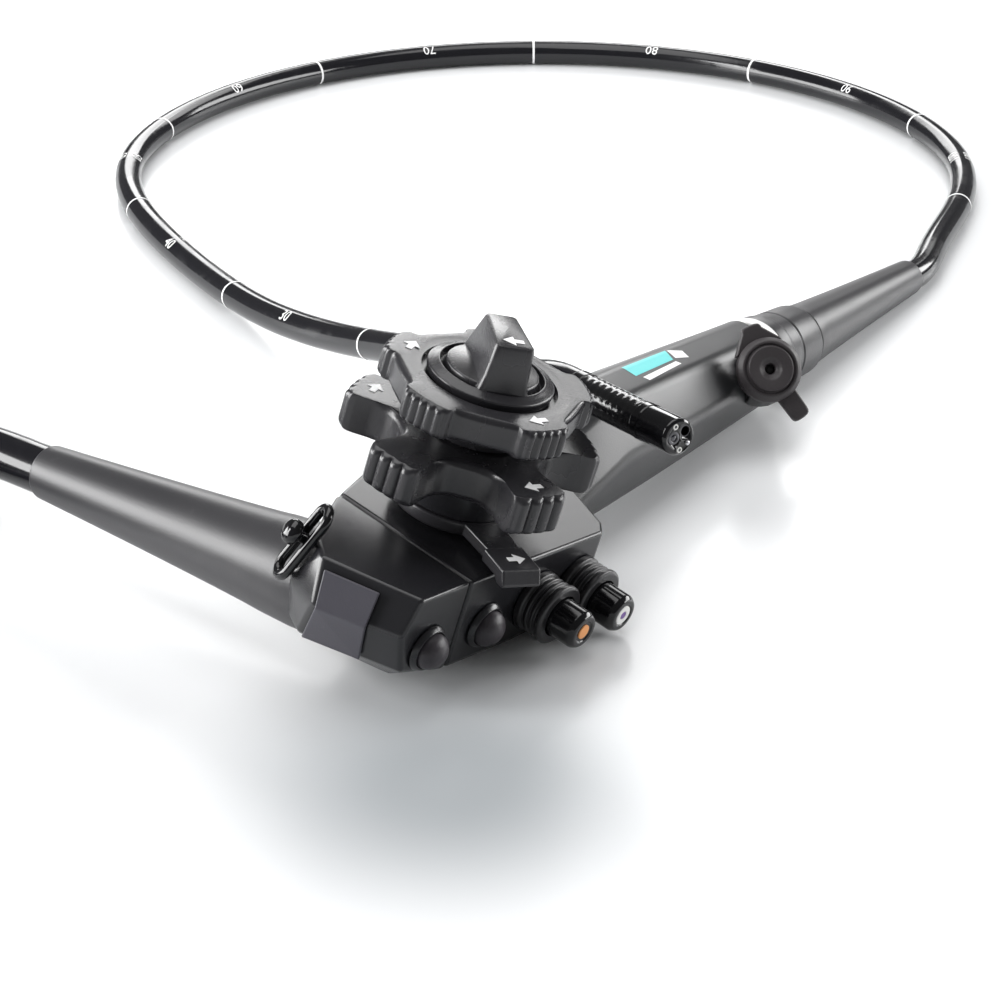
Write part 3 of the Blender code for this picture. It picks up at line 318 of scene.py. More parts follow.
def evenly(route, spacing):
    # even points on a natural cubic spline through a route
    route = np.array(route, float)
    gaps = np.linalg.norm(np.diff(route, axis=0), axis=1)
    along = np.concatenate([[0], np.cumsum(gaps)])
    count = len(route)
    system, right = np.eye(count), np.zeros((count, 3))
    for i in range(1, count - 1):
        h, k = gaps[i - 1], gaps[i]
        system[i, i - 1:i + 2] = h, 2 * (h + k), k
        right[i] = 6 * ((route[i + 1] - route[i]) / k - (route[i] - route[i - 1]) / h)
    bend = np.linalg.solve(system, right)
    fine = []
    for i in range(count - 1):
        h = gaps[i]
        for t in np.linspace(0, 1, 40, endpoint=False):
            a, b = 1 - t, t
            fine.append(a * route[i] + b * route[i + 1]
                        + ((a ** 3 - a) * bend[i] + (b ** 3 - b) * bend[i + 1]) * h * h / 6)
    fine = np.array(fine + [route[-1]])
    walked = np.concatenate([[0], np.cumsum(np.linalg.norm(np.diff(fine, axis=0), axis=1))])
    steps = max(2, round(walked[-1] / spacing))
    goal = np.linspace(0, walked[-1], steps + 1)
    return [Vector(p) for p in np.stack([np.interp(goal, walked, fine[:, k]) for k in range(3)], 1)]


def lengthOf(points):
    return sum((b - a).length for a, b in zip(points, points[1:]))


def meshOf(thing):
    # a mesh of the object as its modifiers leave it
    bpy.context.view_layer.update()
    return bpy.data.meshes.new_from_object(thing.evaluated_get(bpy.context.evaluated_depsgraph_get()))


def evenFaces(thing):
    # the large flat faces lead the shading, so that they look flat
    even = thing.modifiers.new("even faces", "WEIGHTED_NORMAL")
    even.keep_sharp = True
    even.weight = 90
    return thing


# angulation wheels: ribbed lobes, scalloped rims and flat tops

def lobeRadius(look, angle, height):
    sector = 2 * pi / look["lobes"]
    offset = abs((angle + sector / 2) % sector - sector / 2)
    pad, corner = radians(look["pad"]), radians(look["corner"])
    lowered = look["radius"] - look["ribDepth"] * height
    if offset <= pad:
        bump = abs(sin(pi * look["ribs"] * (offset + pad) / (2 * pad)))
        return look["radius"] - look["ribDepth"] * height * (1 - bump ** 0.55)
    if offset <= pad + corner:
        share = (offset - pad) / corner
        return lowered - look["neck"] * (1 - sqrt(1 - share * share))
    share = (offset - pad - corner) / (sector / 2 - pad - corner)
    high = lowered - look["neck"]
    return high - (high - look["scallop"]) * (1 - (1 - share) ** look["bowl"]) ** (1 / look["bowl"])


def wheel(name, look, body, stands, padSteps=32, cornerSteps=5, scallopSteps=16):
    sector = 2 * pi / look["lobes"]
    pad, corner = radians(look["pad"]), radians(look["corner"])
    free = sector - 2 * pad - 2 * corner
    angles = []
    for lobe in range(look["lobes"]):
        start = lobe * sector - pad
        angles += [start + 2 * pad * i / padSteps for i in range(padSteps + 1)]
        angles += [start + 2 * pad + corner * (i + 1) / cornerSteps for i in range(cornerSteps)]
        angles += [start + 2 * pad + corner + free * (0.5 - 0.5 * cos(pi * (i + 1) / scallopSteps))
                   for i in range(scallopSteps - 1)]
        angles += [start + sector - corner + corner * i / cornerSteps for i in range(cornerSteps)]
    low, top, edge = look["bottom"], look["bottom"] + look["height"], look["edge"]
    arc = (0.0, 0.4, 0.8, 1.2, 1.57)
    bank = [(-edge * (1 - sin(a)), low + edge * (1 - cos(a)), sin(a)) for a in arc]
    bank += [(-edge * (1 - sin(a)), top - edge * (1 - cos(a)), sin(a)) for a in arc[::-1]]
    rows = [([lobeRadius(look, a, share) + inward for a in angles], z) for inward, z, share in bank]
    rows += [([r] * len(angles), z) for r, z in look["hub"]]
    rings = [[(r * cos(a + look["turn"]), r * sin(a + look["turn"]), z) for r, a in zip(radii, angles)]
             for radii, z in rows]
    evenFaces(piece(name, loft(rings, True), "wheel", body, stands=stands, smooth=50))
    for lobe in look["marks"]:
        spot = Matrix.Translation((look["radius"] - mark["inset"], 0, top + mark["rise"]))
        place = head @ Matrix.Rotation(lobe * sector + look["turn"], 4, "Z") @ spot
        arrowMark(name + "Mark%d" % lobe, body, place, mark["size"])


# the arrows printed on the wheels: distance from the rim, height over the top, size and thickness
mark = {"inset": 0.0064, "rise": 0.00005, "size": 0.0054, "thick": 0.00012}


def arrowMark(name, body, place, size):
    # plain printed arrow: a triangle with a short tail
    outline = [(-0.5, 0.0), (0.05, 0.42), (0.05, 0.16), (0.5, 0.16), (0.5, -0.16), (0.05, -0.16),
               (0.05, -0.42)]
    rings = [[(-v * size, u * size, height) for u, v in outline] for height in (0.0, mark["thick"])]
    piece(name, loft(rings), "mark", body, place)


# angles are in degrees; the hub's radii and heights close the wheel from its top to its bottom
udLook = {
    "radius": 0.0345, "lobes": 5, "pad": 12.2, "corner": 2.4, "ribs": 4, "ribDepth": 0.0011, "neck": 0.0026,
    "scallop": 0.02, "bowl": 2.8, "bottom": 0.014, "height": 0.0107, "edge": 0.0021,
    "turn": radians(-35), "marks": (2, 4),
    "hub": ((0.0172, 0.0247), (0.015, 0.0248), (0.0035, 0.0248), (0.0035, 0.014), (0.0175, 0.014)),
}
rlLook = {
    "radius": 0.0283, "lobes": 5, "pad": 13.0, "corner": 3.6, "ribs": 5, "ribDepth": 0.001, "neck": 0.0016,
    "scallop": 0.0241, "bowl": 2.0, "bottom": 0.0318, "height": 0.0084, "edge": 0.0018,
    "turn": radians(-34), "marks": (2, 4),
    "hub": ((0.0209, 0.0402), (0.0205, 0.04005), (0.018, 0.04005), (0.0177, 0.0384), (0.0025, 0.0383),
            (0.0025, 0.0255), (0.013, 0.0255), (0.0135, 0.0318)),
}
wheel("largeWheel", udLook, "ud_wheel", ("ud_wheel",))
wheel("smallWheel", rlLook, "rl_wheel", ("rl_wheel",))
print("wheels are cut and marked")


# brake knob: stepped disc with a wedge bar for the thumb

knob = {"low": 0.0389, "disc": 0.0168, "top": 0.042, "dome": 0.0125, "bore": 0.0013, "bar": radians(-128),
        "barTop": 0.0552, "soft": 0.0014, "mark": 0.0056, "markAt": 0.0088}
low, top, disc, dome = knob["low"], knob["top"], knob["disc"], knob["dome"]
side = [(knob["bore"], low), (disc - 0.0004, low), (disc, top - 0.0006), (disc - 0.0016, top),
        (dome + 0.0012, top + 0.0007), (dome + 0.0011, top - 0.0018), (dome + 0.0001, top - 0.0018),
        (dome - 0.0004, top + 0.0012), (0.005, top + 0.0022), (knob["bore"], top + 0.0022)]
spun("brakeDisc", side, 0.0005, "wheel", "rl_brake", None, ("rl_brake_knob",))


def thumbBar():
    # share of the height, half width, back and front
    rings, soft = [], knob["soft"]
    for share, width, back, front in ((0.0, 0.0072, -0.0128, 0.0131), (0.1, 0.0065, -0.0124, 0.013),
                                      (0.35, 0.0059, -0.011, 0.0129), (0.65, 0.0055, -0.0088, 0.0127),
                                      (0.92, 0.0052, -0.0066, 0.0125), (0.98, 0.005, -0.0061, 0.0122),
                                      (1.0, 0.0044, -0.0054, 0.0116)):
        z = knob["top"] - 0.0004 + share * (knob["barTop"] - knob["top"] + 0.0004)
        ring = []
        for cx, cy, first in ((front - soft, width - soft, 0), (back + soft, width * 0.82 - soft, 90),
                              (back + soft, -width * 0.82 + soft, 180), (front - soft, -width + soft, 270)):
            for i in range(5):
                a = radians(first + 22.5 * i)
                ring.append((cx + soft * cos(a), cy + soft * sin(a), z))
        rings.append(ring)
    return loft(rings)


barPlace = head @ Matrix.Rotation(knob["bar"], 4, "Z")
piece("brakeBar", thumbBar(), "wheel", "rl_brake", barPlace, smooth=40)
markPlace = barPlace @ Matrix.Translation((knob["markAt"], 0, knob["barTop"] + 0.00003))
arrowMark("brakeBarMark", "rl_brake", markPlace, knob["mark"])
print("brake knob is on")


# shells: the frame's own forms, evenly shaded

def placed(origin, direction):
    return head @ pointing(Vector(origin), direction)


def laid(origin, direction):
    return Matrix.Translation(table) @ pointing(Vector(origin), direction)


def reshaped(name, node, finish, angle=40.0):
    shape = bmesh.new()
    shape.from_mesh(frame["nodes"][node].data)
    bmesh.ops.remove_doubles(shape, verts=shape.verts, dist=2e-6)
    bmesh.ops.dissolve_limit(shape, angle_limit=radians(0.4), verts=shape.verts, edges=shape.edges)
    return evenFaces(piece(name, shape, finish, "body", Matrix(), (node,), smooth=angle))


def softened(thing, width, segments=4):
    edge = thing.modifiers.new("soft edges", "BEVEL")
    edge.width, edge.segments, edge.limit_method = width, segments, "ANGLE"
    edge.angle_limit = radians(28)
    return evenFaces(thing)


reshaped("mainShell", "head_shell", "housing")
reshaped("endCover", "head_end_cover", "housing")
gripCase = reshaped("gripCase", "grip_shell", "grip", angle=28)
# the face plate's lighter grey is partly painted reflection
softened(reshaped("facePlate", "end_panel", "panel"), 0.00035, 3)
reshaped("portBoss", "port_boss", "grip")
reshaped("wheelHousing", "brake_housing", "housing")
reshaped("cordSocket", "cord_socket", "housing")
print("shells are smooth")


# printed marks that lie on a shell

def surfaceOf(thing):
    bpy.context.view_layer.update()
    seen = thing.evaluated_get(bpy.context.evaluated_depsgraph_get())
    return BVHTree.FromObject(seen, bpy.context.evaluated_depsgraph_get())


stripe = {"rise": 0.00008, "steps": (24, 6)}
stripe["pieces"] = {
    "tealStripe": ("teal", (0.0985, 0.015), (0.1205, 0.0172), (0.123, 0.0222), (0.0985, 0.0205)),
    "whiteBar": ("mark", (0.101, 0.0117), (0.1212, 0.0145), (0.1205, 0.0162), (0.1003, 0.0137)),
    "whiteEnd": ("mark", (0.1222, 0.0176), (0.1275, 0.0162), (0.1288, 0.0198), (0.1236, 0.022)),
}


def decal(name, corners, finish, target):
    # four corners seen from above in the control body's frame, dropped onto the shell
    shape, tree, grid = bmesh.new(), surfaceOf(target), []
    down = head.to_3x3() @ Vector((0, 0, -1))
    across, over = stripe["steps"]
    for i in range(across + 1):
        low = Vector(corners[0]).lerp(Vector(corners[1]), i / across)
        high = Vector(corners[3]).lerp(Vector(corners[2]), i / across)
        row = []
        for j in range(over + 1):
            spot = low.lerp(high, j / over)
            hit, normal, _, _ = tree.ray_cast(head @ Vector((spot.x, spot.y, 0.06)), down)
            row.append(shape.verts.new(hit + normal * stripe["rise"]))
        grid.append(row)
    for i in range(across):
        for j in range(over):
            shape.faces.new((grid[i][j], grid[i + 1][j], grid[i + 1][j + 1], grid[i][j + 1]))
    piece(name, shape, finish, "body", Matrix())


for name, (finish, *corners) in stripe["pieces"].items():
    decal(name, corners, finish, gripCase)


# brake lever under the large wheel

lever = {"low": 0.0024, "top": 0.006, "neck": 0.0089, "ring": 0.016, "reach": 0.0385, "tab": 0.012,
         "tabHalf": 0.0057, "armHalf": 0.0046, "droop": 0.0048, "azimuth": radians(-111), "mark": 0.0052,
         "markAt": (0.0322, 0.0006)}
leverPlace = head @ Matrix.Rotation(lever["azimuth"], 4, "Z")
low, top, half, reach = lever["low"], lever["top"], lever["armHalf"], lever["reach"]
side = [(lever["neck"], low), (lever["ring"], low), (lever["ring"], top), (lever["neck"], top)]
spun("leverRing", side, 0.0007, "wheel", "ud_brake", leverPlace, ("ud_brake_lever",))
armStart, tabStart = lever["neck"] + 0.0015, reach - lever["tab"]
armOutline = [(armStart, -half - 0.0012), (armStart + 0.006, -half - 0.0004), (tabStart + 0.002, -half),
              (tabStart + 0.002, half), (armStart + 0.006, half + 0.0012), (armStart, half + 0.003)]
arm = loft([[(x, y, z) for x, y in armOutline] for z in (low + 0.0001, top - 0.0001)])
softened(piece("leverArm", arm, "wheel", "ud_brake", leverPlace), 0.0005)
tabLow = top - lever["droop"]
tabSide = [(tabStart, top), (reach - 0.002, top - 0.0003), (reach, tabLow + 0.0008),
           (reach - 0.0008, tabLow), (reach - 0.0034, tabLow), (reach - 0.0052, low), (tabStart, low)]
tab = loft([[(x, y, z) for x, z in tabSide] for y in (-lever["tabHalf"], lever["tabHalf"])])
softened(piece("leverTab", tab, "wheel", "ud_brake", leverPlace), 0.0007)
markPlace = leverPlace @ Matrix.Translation((*lever["markAt"], top + 0.00004)) @ Matrix.Rotation(pi, 4, "Z")
arrowMark("leverMark", "ud_brake", markPlace, lever["mark"])
print("brake lever is on")


# buttons: rubber domes in raised collars

button = {"xs": (-0.0338, -0.0108), "y": -0.0266, "z": -0.0159, "radius": 0.0049, "height": 0.006,
          "crown": 0.004, "crease": 0.00012, "collar": 0.0065, "stem": 0.0021, "stemLow": -0.0032,
          "base": 0.0016}
outOfHead = Vector((0, -1, 0))
for x, node in zip(button["xs"], ("freeze_button", "capture_button")):
    place = placed((x, button["y"], button["z"]), outOfHead)
    r, rim, stem = button["radius"], button["collar"], button["stem"]
    side = [(r + 0.0003, 0.0003), (rim, 0.0003), (rim - 0.0002, 0.001), (r + 0.0007, 0.002),
            (r + 0.0003, 0.0019)]
    spun(node + "Collar", side, 0.0005, "housing", "body", place, (node + "_collar",), steps=72)
    dome = [(onAxis, button["stemLow"]), (stem, button["stemLow"]), (stem, button["base"]),
            (r, button["base"])]
    for step in range(11):
        lean = radians(9 * step)
        z = button["height"] - button["crown"] * (1 - sin(lean))
        dome.append((max(r * cos(lean), onAxis), z - (button["crease"] if step == 4 else 0.0)))
    piece(node + "Dome", turned(dome, 72), "button", node, place, (node,))
print("buttons are in")


# valves: ribbed collars and glossy caps with coloured ends

valve = {"xs": (0.0098, 0.0273), "y": -0.0266, "z": -0.014, "collar": 0.0085, "length": 0.0092,
         "cap": 0.0057, "capLow": 0.0057, "capEnd": 0.0175, "groove": 0.001}
dots = {"suction_valve": (("orange", onAxis, 0.0021),),
        "air_water_valve": (("white", 0.0012, 0.0028), ("purple", onAxis, 0.0011))}
for x, node in zip(valve["xs"], ("suction_valve", "air_water_valve")):
    place = placed((x, valve["y"], valve["z"]), outOfHead)
    r, tall, cap = valve["collar"], valve["length"], valve["cap"]
    groove, low, end = r - valve["groove"], valve["capLow"], valve["capEnd"]
    side = [(cap + 0.0002, 0.0003), (r, 0.0003), (r, 0.002), (groove, 0.0026), (groove, 0.0032),
            (r - 0.0003, 0.0036), (r - 0.0003, 0.0042), (groove, 0.0046), (groove, 0.005),
            (r - 0.0003, 0.0054), (r - 0.0003, 0.006), (groove, 0.0064), (groove, tall - 0.0022),
            (r, tall - 0.0016), (r, tall - 0.0005), (r - 0.0008, tall), (cap + 0.0002, tall)]
    spun(node + "Sleeve", side, 0.0003, "seal", "body", place, (node + "_collar",))
    side = [(0.0027, -0.011), (0.0026, low), (cap, low), (cap, low + 0.002), (cap - 0.0003, low + 0.0024),
            (cap - 0.0003, end - 0.0014), (cap - 0.0012, end), (0.0032, end), (0.0029, end - 0.0004),
            (onAxis, end - 0.0004)]
    spun(node + "Cap", side, 0.0005, "gloss", node, place, (node,), ring=False)
    for finish, inner, outer in dots[node]:
        side = [(inner, end - 0.0004), (outer, end - 0.0004), (outer - 0.0001, end - 0.0001),
                (inner, end - 0.0001)]
        spun(node + finish.capitalize(), side, 0.00008, finish, node, place, steps=64, ring=inner > onAxis)
print("valves are in")


# instrument port: rubber cap with its pull tab and strap

# each lug: the way it points, its reach, half widths at the rim and at the end, and its low and high side
port = {"centre": Vector((0.1442, -0.0023, 0.0146)), "axis": Vector((-0.66, -0.5, 0.56)).normalized(),
        "radius": 0.0098, "thickness": 0.0075, "tube": 0.0052, "bore": 0.0016, "lugFrom": 0.0072,
        "lugCurl": 0.0018, "tab": ((0.29, -0.73, -0.61), 0.0176, 0.0032, 0.0029, -0.0058, -0.0032),
        "strap": ((0.12, 0.84, 0.53), 0.0146, 0.0078, 0.0033, -0.0069, -0.0036)}
portPlace = placed(port["centre"], port["axis"])
low, r, inner, bore = -port["thickness"], port["radius"], port["tube"] + 0.0003, port["bore"]
side = [(inner, low + 0.0008), (r - 0.0018, low), (r, low + 0.0022), (r, -0.0026), (r - 0.0014, -0.001),
        (r - 0.0022, -0.001), (r - 0.0023, -0.0015), (r - 0.0028, -0.0013), (r - 0.0031, -0.0001),
        (0.0064, 0.0), (0.0034, -0.0003), (0.0027, -0.0009), (bore, -0.0014), (bore - 0.0002, -0.0042),
        (inner, -0.0042)]
spun("portCap", side, 0.0005, "port", "port_cap", portPlace, ("port_cap",))
# a near-black disc closing the cap's bore: painted shade deep in the hole
boreShadeSide = [(onAxis, -0.004), (0.0017, -0.004), (0.0017, -0.0034), (0.0008, -0.0028), (onAxis, -0.0027)]
piece("portBoreShade", turned(boreShadeSide, 48), "hole", "port_cap", portPlace)


def portLug(name, look):
    towards, reach, rimHalf, endHalf, low, high = look
    along = (Vector(towards) - port["axis"] * Vector(towards).dot(port["axis"])).normalized()
    across = port["axis"].cross(along)
    curl = min(endHalf, port["lugCurl"])
    outline = []
    for i in range(9):
        a = pi * (i / 8 - 0.5)
        side = (endHalf - curl) * (1 if a > 0 else -1 if a < 0 else 0)
        outline.append((reach - curl + curl * cos(a), side + curl * sin(a)))
    outline += [(port["lugFrom"], rimHalf), (port["lugFrom"], -rimHalf)]
    rings = [[port["centre"] + port["axis"] * height + along * u + across * v for u, v in outline]
             for height in (low, high)]
    softened(piece(name, loft(rings), "port", "port_cap", head), 0.0006, 3)


portLug("portTab", port["tab"])
portLug("portStrap", port["strap"])
print("channel port is capped")


# grip ring, collar and tapering boot

grip = {"axisY": 0.0086, "slopeY": 0.075, "axisZ": -0.0068, "slopeZ": 0.028, "ringAt": 0.1723,
        "ringLong": 0.005, "ringRadius": 0.0137, "ringBore": 0.0087, "collarAt": 0.1776,
        "collarLong": 0.027, "collarRadius": 0.0115, "bootAt": 0.2049, "bootLong": 0.085,
        "bootRise": radians(0.9), "bootTurn": radians(1.4), "bootTip": 0.0061, "bootSteps": 12}
gripLine = Vector((1, grip["slopeY"], grip["slopeZ"])).normalized()
bootLine = Matrix.Rotation(grip["bootTurn"], 3, "Z") @ Matrix.Rotation(-grip["bootRise"], 3, "Y") @ gripLine
tubeRadius = 0.00495


def onGrip(x):
    return Vector((x, grip["axisY"] + grip["slopeY"] * x, grip["axisZ"] + grip["slopeZ"] * x))


r, tall, bore = grip["ringRadius"], grip["ringLong"], grip["ringBore"]
side = [(bore, 0), (r - 0.0004, 0), (r, 0.0008), (r - 0.0003, tall), (bore, tall)]
spun("whiteRing", side, 0.0006, "white", "body", placed(onGrip(grip["ringAt"]), gripLine), ("grip_ring",))
r, tall, bore = grip["collarRadius"], grip["collarLong"], tubeRadius + 0.0012
side = [(bore, 0), (r + 0.0014, 0), (r + 0.0014, 0.0056), (r + 0.0007, 0.0064), (r + 0.0006, 0.012),
        (r + 0.0003, 0.0124), (r + 0.0003, 0.013), (r + 0.0006, 0.0134), (r + 0.0001, tall - 0.0012),
        (r - 0.001, tall), (bore, tall)]
spun("gripCollar", side, 0.0006, "boot", "body", placed(onGrip(grip["collarAt"]), gripLine), ("grip_collar",))
r, tall, bore = r - 0.0008, grip["bootLong"], tubeRadius + 0.0003
side = [(bore, 0), (r, 0)]
for step in range(1, grip["bootSteps"] + 1):
    share = step / grip["bootSteps"]
    side.append((r - (r - grip["bootTip"]) * share ** 0.85, (tall - 0.0006) * share))
side += [(grip["bootTip"] - 0.0005, tall), (bore, tall)]
spun("tubeBoot", side, 0.0008, "boot", "body", placed(onGrip(grip["bootAt"]), bootLine), ("insertion_boot",),
     steps=72)


# universal cord's boot on the head

cordBoot = {"base": Vector((-0.0341, 0.0279, 0.0232)), "line": Vector((0.016, 0.9995, 0.008)).normalized(),
            "long": 0.088, "radius": 0.0134, "tip": 0.0078, "cord": 0.014, "skirt": 0.019, "steps": 14}
r, tall, bore, skirt = cordBoot["radius"], cordBoot["long"], cordBoot["cord"] / 2 + 0.0003, cordBoot["skirt"]
side = [(bore, 0.0003), (r - 0.0002, 0.0003), (r - 0.0002, -skirt), (r + 0.0008, -skirt),
        (r + 0.0006, -skirt / 2)]
for step in range(cordBoot["steps"] + 1):
    share = step / cordBoot["steps"]
    side.append((r - (r - cordBoot["tip"]) * share ** 0.85, (tall - 0.0006) * share))
side += [(cordBoot["tip"] - 0.0004, tall), (bore, tall)]
spun("cordBoot", side, 0.0008, "boot", "body", laid(cordBoot["base"], cordBoot["line"]), ("cord_boot",))
print("ring, collar and boots are on")


# hanger: bracket with a ball and a long glossy loop

hanger = {"cornerTop": Vector((-0.0426, 0.0091, 0)), "topLeft": Vector((-0.0499, -0.0002, 0)),
          "cornerLow": Vector((-0.0485, 0.0088, -0.0105)), "fromCorner": 0.0026, "fromTop": 0.002,
          "wire": 0.0013, "half": 0.0034, "long": 0.0106, "drop": 0.001}
along = (hanger["cornerTop"] - hanger["topLeft"]).normalized()
outward = along.cross(hanger["cornerLow"] - hanger["cornerTop"]).normalized()
upward = along.cross(outward).normalized()
hangerAt = hanger["cornerTop"] - along * hanger["fromCorner"] - upward * hanger["fromTop"]
postSide = [(onAxis, -0.0004), (0.0022, 0.0003), (0.0015, 0.0009), (0.0015, 0.0036), (0.0022, 0.0042),
            (0.0034, 0.005), (0.0034, 0.007), (0.002, 0.0082), (onAxis, 0.0084)]
spun("hangerPost", postSide, 0.0009, "gloss", "body", placed(hangerAt, outward), ("hanger_bracket",),
     steps=64, ring=False)


def longLoop(look, steps=96, sides=24):
    rings = []
    for angle in around(steps):
        straight = (look["long"] - look["half"]) * copysign(1, sin(angle + 1e-9))
        centre = Vector((look["half"] * cos(angle), look["half"] * sin(angle) + straight - look["drop"], 0))
        out = Vector((cos(angle), sin(angle), 0))
        rings.append([centre + out * (look["wire"] * cos(a)) + Vector((0, 0, look["wire"] * sin(a)))
                      for a in around(sides)])
    return loft(rings, True)


loopTurn = Matrix((upward.cross(outward), upward, outward)).transposed().to_4x4()
loopPlace = head @ Matrix.Translation(hangerAt + outward * (hanger["wire"] + 0.0006)) @ loopTurn
piece("hangerLoop", longLoop(hanger), "gloss", "hanger_ring", loopPlace, ("hanger_ring",))
print("hanger is hung")


# insertion tube: glossy skin with depth rings and plain numbers, each number twice round the tube

tube = {
    "diameter": 2 * tubeRadius, "evenly": 0.004, "ferrule": 0.006, "gap": 0.0003, "approach": 0.008,
    "inBoot": 0.012, "beyondBoot": 0.01, "rings": 9, "firstRing": 0.132, "ringWide": 0.0009, "ringSteps": 48,
    "numbers": 8, "firstNumber": 0.185, "spacing": 0.1, "letter": 0.0058, "leans": (-40, 35), "lift": 0.00006,
    "route": ((0.3198, 0.039, 0.0056), (0.3643, 0.0545, 0.0051), (0.4075, 0.0775, 0.0051),
              (0.4568, 0.1441, 0.0051), (0.4663, 0.2264, 0.0051), (0.4334, 0.3024, 0.0051),
              (0.3669, 0.3518, 0.0051), (0.2846, 0.3613, 0.0051), (0.2095, 0.3291, 0.0051),
              (0.1604, 0.263, 0.0051), (0.1395, 0.218, 0.0053), (0.1187, 0.17, 0.0098),
              (0.099, 0.1166, 0.0206), (0.0763, 0.0653, 0.036), (0.0535, 0.014, 0.0505)),
}
tip = {"face": Vector((0.0308, -0.0506, 0.0578)), "looks": Vector((-0.3187, -0.9473, 0.0505)).normalized(),
       "long": 0.0135, "pitch": 0.003125, "links": 7, "collar": 0.0026}
tipLine = tip["looks"]
bendStart = tip["face"] - tipLine * (tip["long"] + (tip["links"] + 1) * tip["pitch"])


def cordCurve(name, points, diameter):
    data = bpy.data.curves.new(name, "CURVE")
    data.dimensions = "3D"
    data.bevel_depth, data.bevel_resolution, data.use_fill_caps = diameter / 2, 7, True
    spline = data.splines.new("POLY")
    spline.points.add(len(points) - 1)
    for spot, point in zip(spline.points, points):
        spot.co = (*point, 1)
    data.materials.append(finishes["skin"])
    made = shown(name, data)
    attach(made, "body")
    return made


def pastBoot(along):
    # a point on the line of the insertion boot, at a distance past its mouth
    return head @ (onGrip(grip["bootAt"]) + bootLine * (grip["bootLong"] + along))


tubeEnd = table + bendStart - tipLine * (tube["ferrule"] + tube["gap"])
approach = tubeEnd - tipLine * tube["approach"]
tubeRoute = [pastBoot(-tube["inBoot"]), pastBoot(tube["beyondBoot"]),
             *[table + Vector(p) for p in tube["route"]], approach, tubeEnd]
tubePoints = evenly(tubeRoute, tube["evenly"])
tubeCord = cordCurve("insertionTube", tubePoints, tube["diameter"])
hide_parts("insertion_tube")


def frameAt(fromEnd):
    # place, run and upward side of the tube at a distance before its far end
    walked = 0.0
    for after, before in zip(tubePoints[::-1], tubePoints[-2::-1]):
        step = (after - before).length
        if walked + step >= fromEnd:
            spot = after.lerp(before, (fromEnd - walked) / step)
            run = (after - before).normalized()
            over = (Vector((0, 0, 1)) - run * run.z).normalized()
            return spot, run, over
        walked += step


def ringMark(name, fromEnd):
    rings = []
    for share, lift in ((-0.5, 0.0), (-0.5, tube["lift"]), (0.5, tube["lift"]), (0.5, 0.0)):
        spot, run, over = frameAt(fromEnd + share * tube["ringWide"])
        across = run.cross(over)
        rings.append([spot + (over * cos(a) + across * sin(a)) * (tubeRadius + lift)
                      for a in around(tube["ringSteps"])])
    piece(name, loft(rings), "mark", "body", Matrix())


def numberMark(name, digits, fromEnd, lean):
    text = bpy.data.curves.new(name + "Shape", "FONT")
    text.body, text.size, text.align_x, text.align_y = digits, tube["letter"], "CENTER", "CENTER"
    text.resolution_u = 3
    helper = shown(name + "Shape", text)
    flat = meshOf(helper)
    bpy.data.objects.remove(helper, do_unlink=True)
    shape = bmesh.new()
    shape.from_mesh(flat)
    bmesh.ops.subdivide_edges(shape, edges=shape.edges, cuts=2, use_grid_fill=False)
    for vert in shape.verts:
        spot, run, over = frameAt(fromEnd - vert.co.x)
        turn = radians(lean) + vert.co.y / tubeRadius
        across = run.cross(over)
        vert.co = spot + (over * cos(turn) - across * sin(turn)) * (tubeRadius + tube["lift"])
    piece(name, shape, "mark", "body", Matrix())


for i in range(tube["rings"]):
    ringMark("depthRing%d" % i, tube["firstRing"] + i * tube["spacing"])
for i in range(tube["numbers"]):
    fromEnd = tube["firstNumber"] + i * tube["spacing"]
    for side, lean in zip("ab", tube["leans"]):
        numberMark("depthNumber%d%s" % (i, side), str(30 + 10 * i), fromEnd, lean)
print("insertion tube lies %.3f m long" % lengthOf(tubePoints))


# bending section: rubber sleeve in one stretch for each hinge

sleeve = {"radius": tubeRadius, "inner": 0.0044, "foot": 0.0022, "fold": 0.00005, "foldLong": 0.0027,
          "rows": 14, "steps": 64, "reach": 0.42}
bendFoot = table + bendStart
tipSide = tipLine.cross(Vector((0, 0, 1))).normalized()
tipUp = tipSide.cross(tipLine).normalized()


def sleeveRing(along, radius, folded):
    ring = []
    for angle in around(sleeve["steps"]):
        top = 0.35 + 0.65 * max(0.0, sin(angle + 0.4)) ** 0.7
        wave = sin(2 * pi * along / sleeve["foldLong"] + 1.1 * sin(2 * angle) + 0.7 * cos(angle))
        r = radius + (sleeve["fold"] * top * (wave - 0.6) if folded else 0.0)
        spot = bendFoot + tipLine * along
        ring.append(spot - tipSide * (r * cos(angle)) + tipUp * (r * sin(angle)))
    return ring


hingeCount = tip["links"] + 1
for k in range(hingeCount):
    middle = k * tip["pitch"]
    start = -sleeve["foot"] if k == 0 else middle - tip["pitch"] / 2
    end = middle + tip["collar"] if k == hingeCount - 1 else middle + tip["pitch"] / 2
    rows = [start + (end - start) * i / sleeve["rows"] for i in range(sleeve["rows"] + 1)]
    rings = [sleeveRing(row, sleeve["radius"], True) for row in rows]
    rings = [sleeveRing(start, sleeve["inner"], False), *rings, sleeveRing(end, sleeve["inner"], False)]
    stretch = piece("bendingRubber%d" % (k + 1), loft(rings, True), "rubber", None, Matrix(),
                    smooth=60)
    hinge = bendFoot + tipLine * middle
    reach = tipLine * (sleeve["reach"] * tip["pitch"])
    tuple(hinge - reach)
    tuple(hinge + reach)
    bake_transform(stretch)

# the whipped thread at both ends of the sleeve
thread = {"inner": 0.0043, "radius": 0.005, "high": 0.00512, "low": 0.00506, "edge": 0.0003, "each": 0.0005}


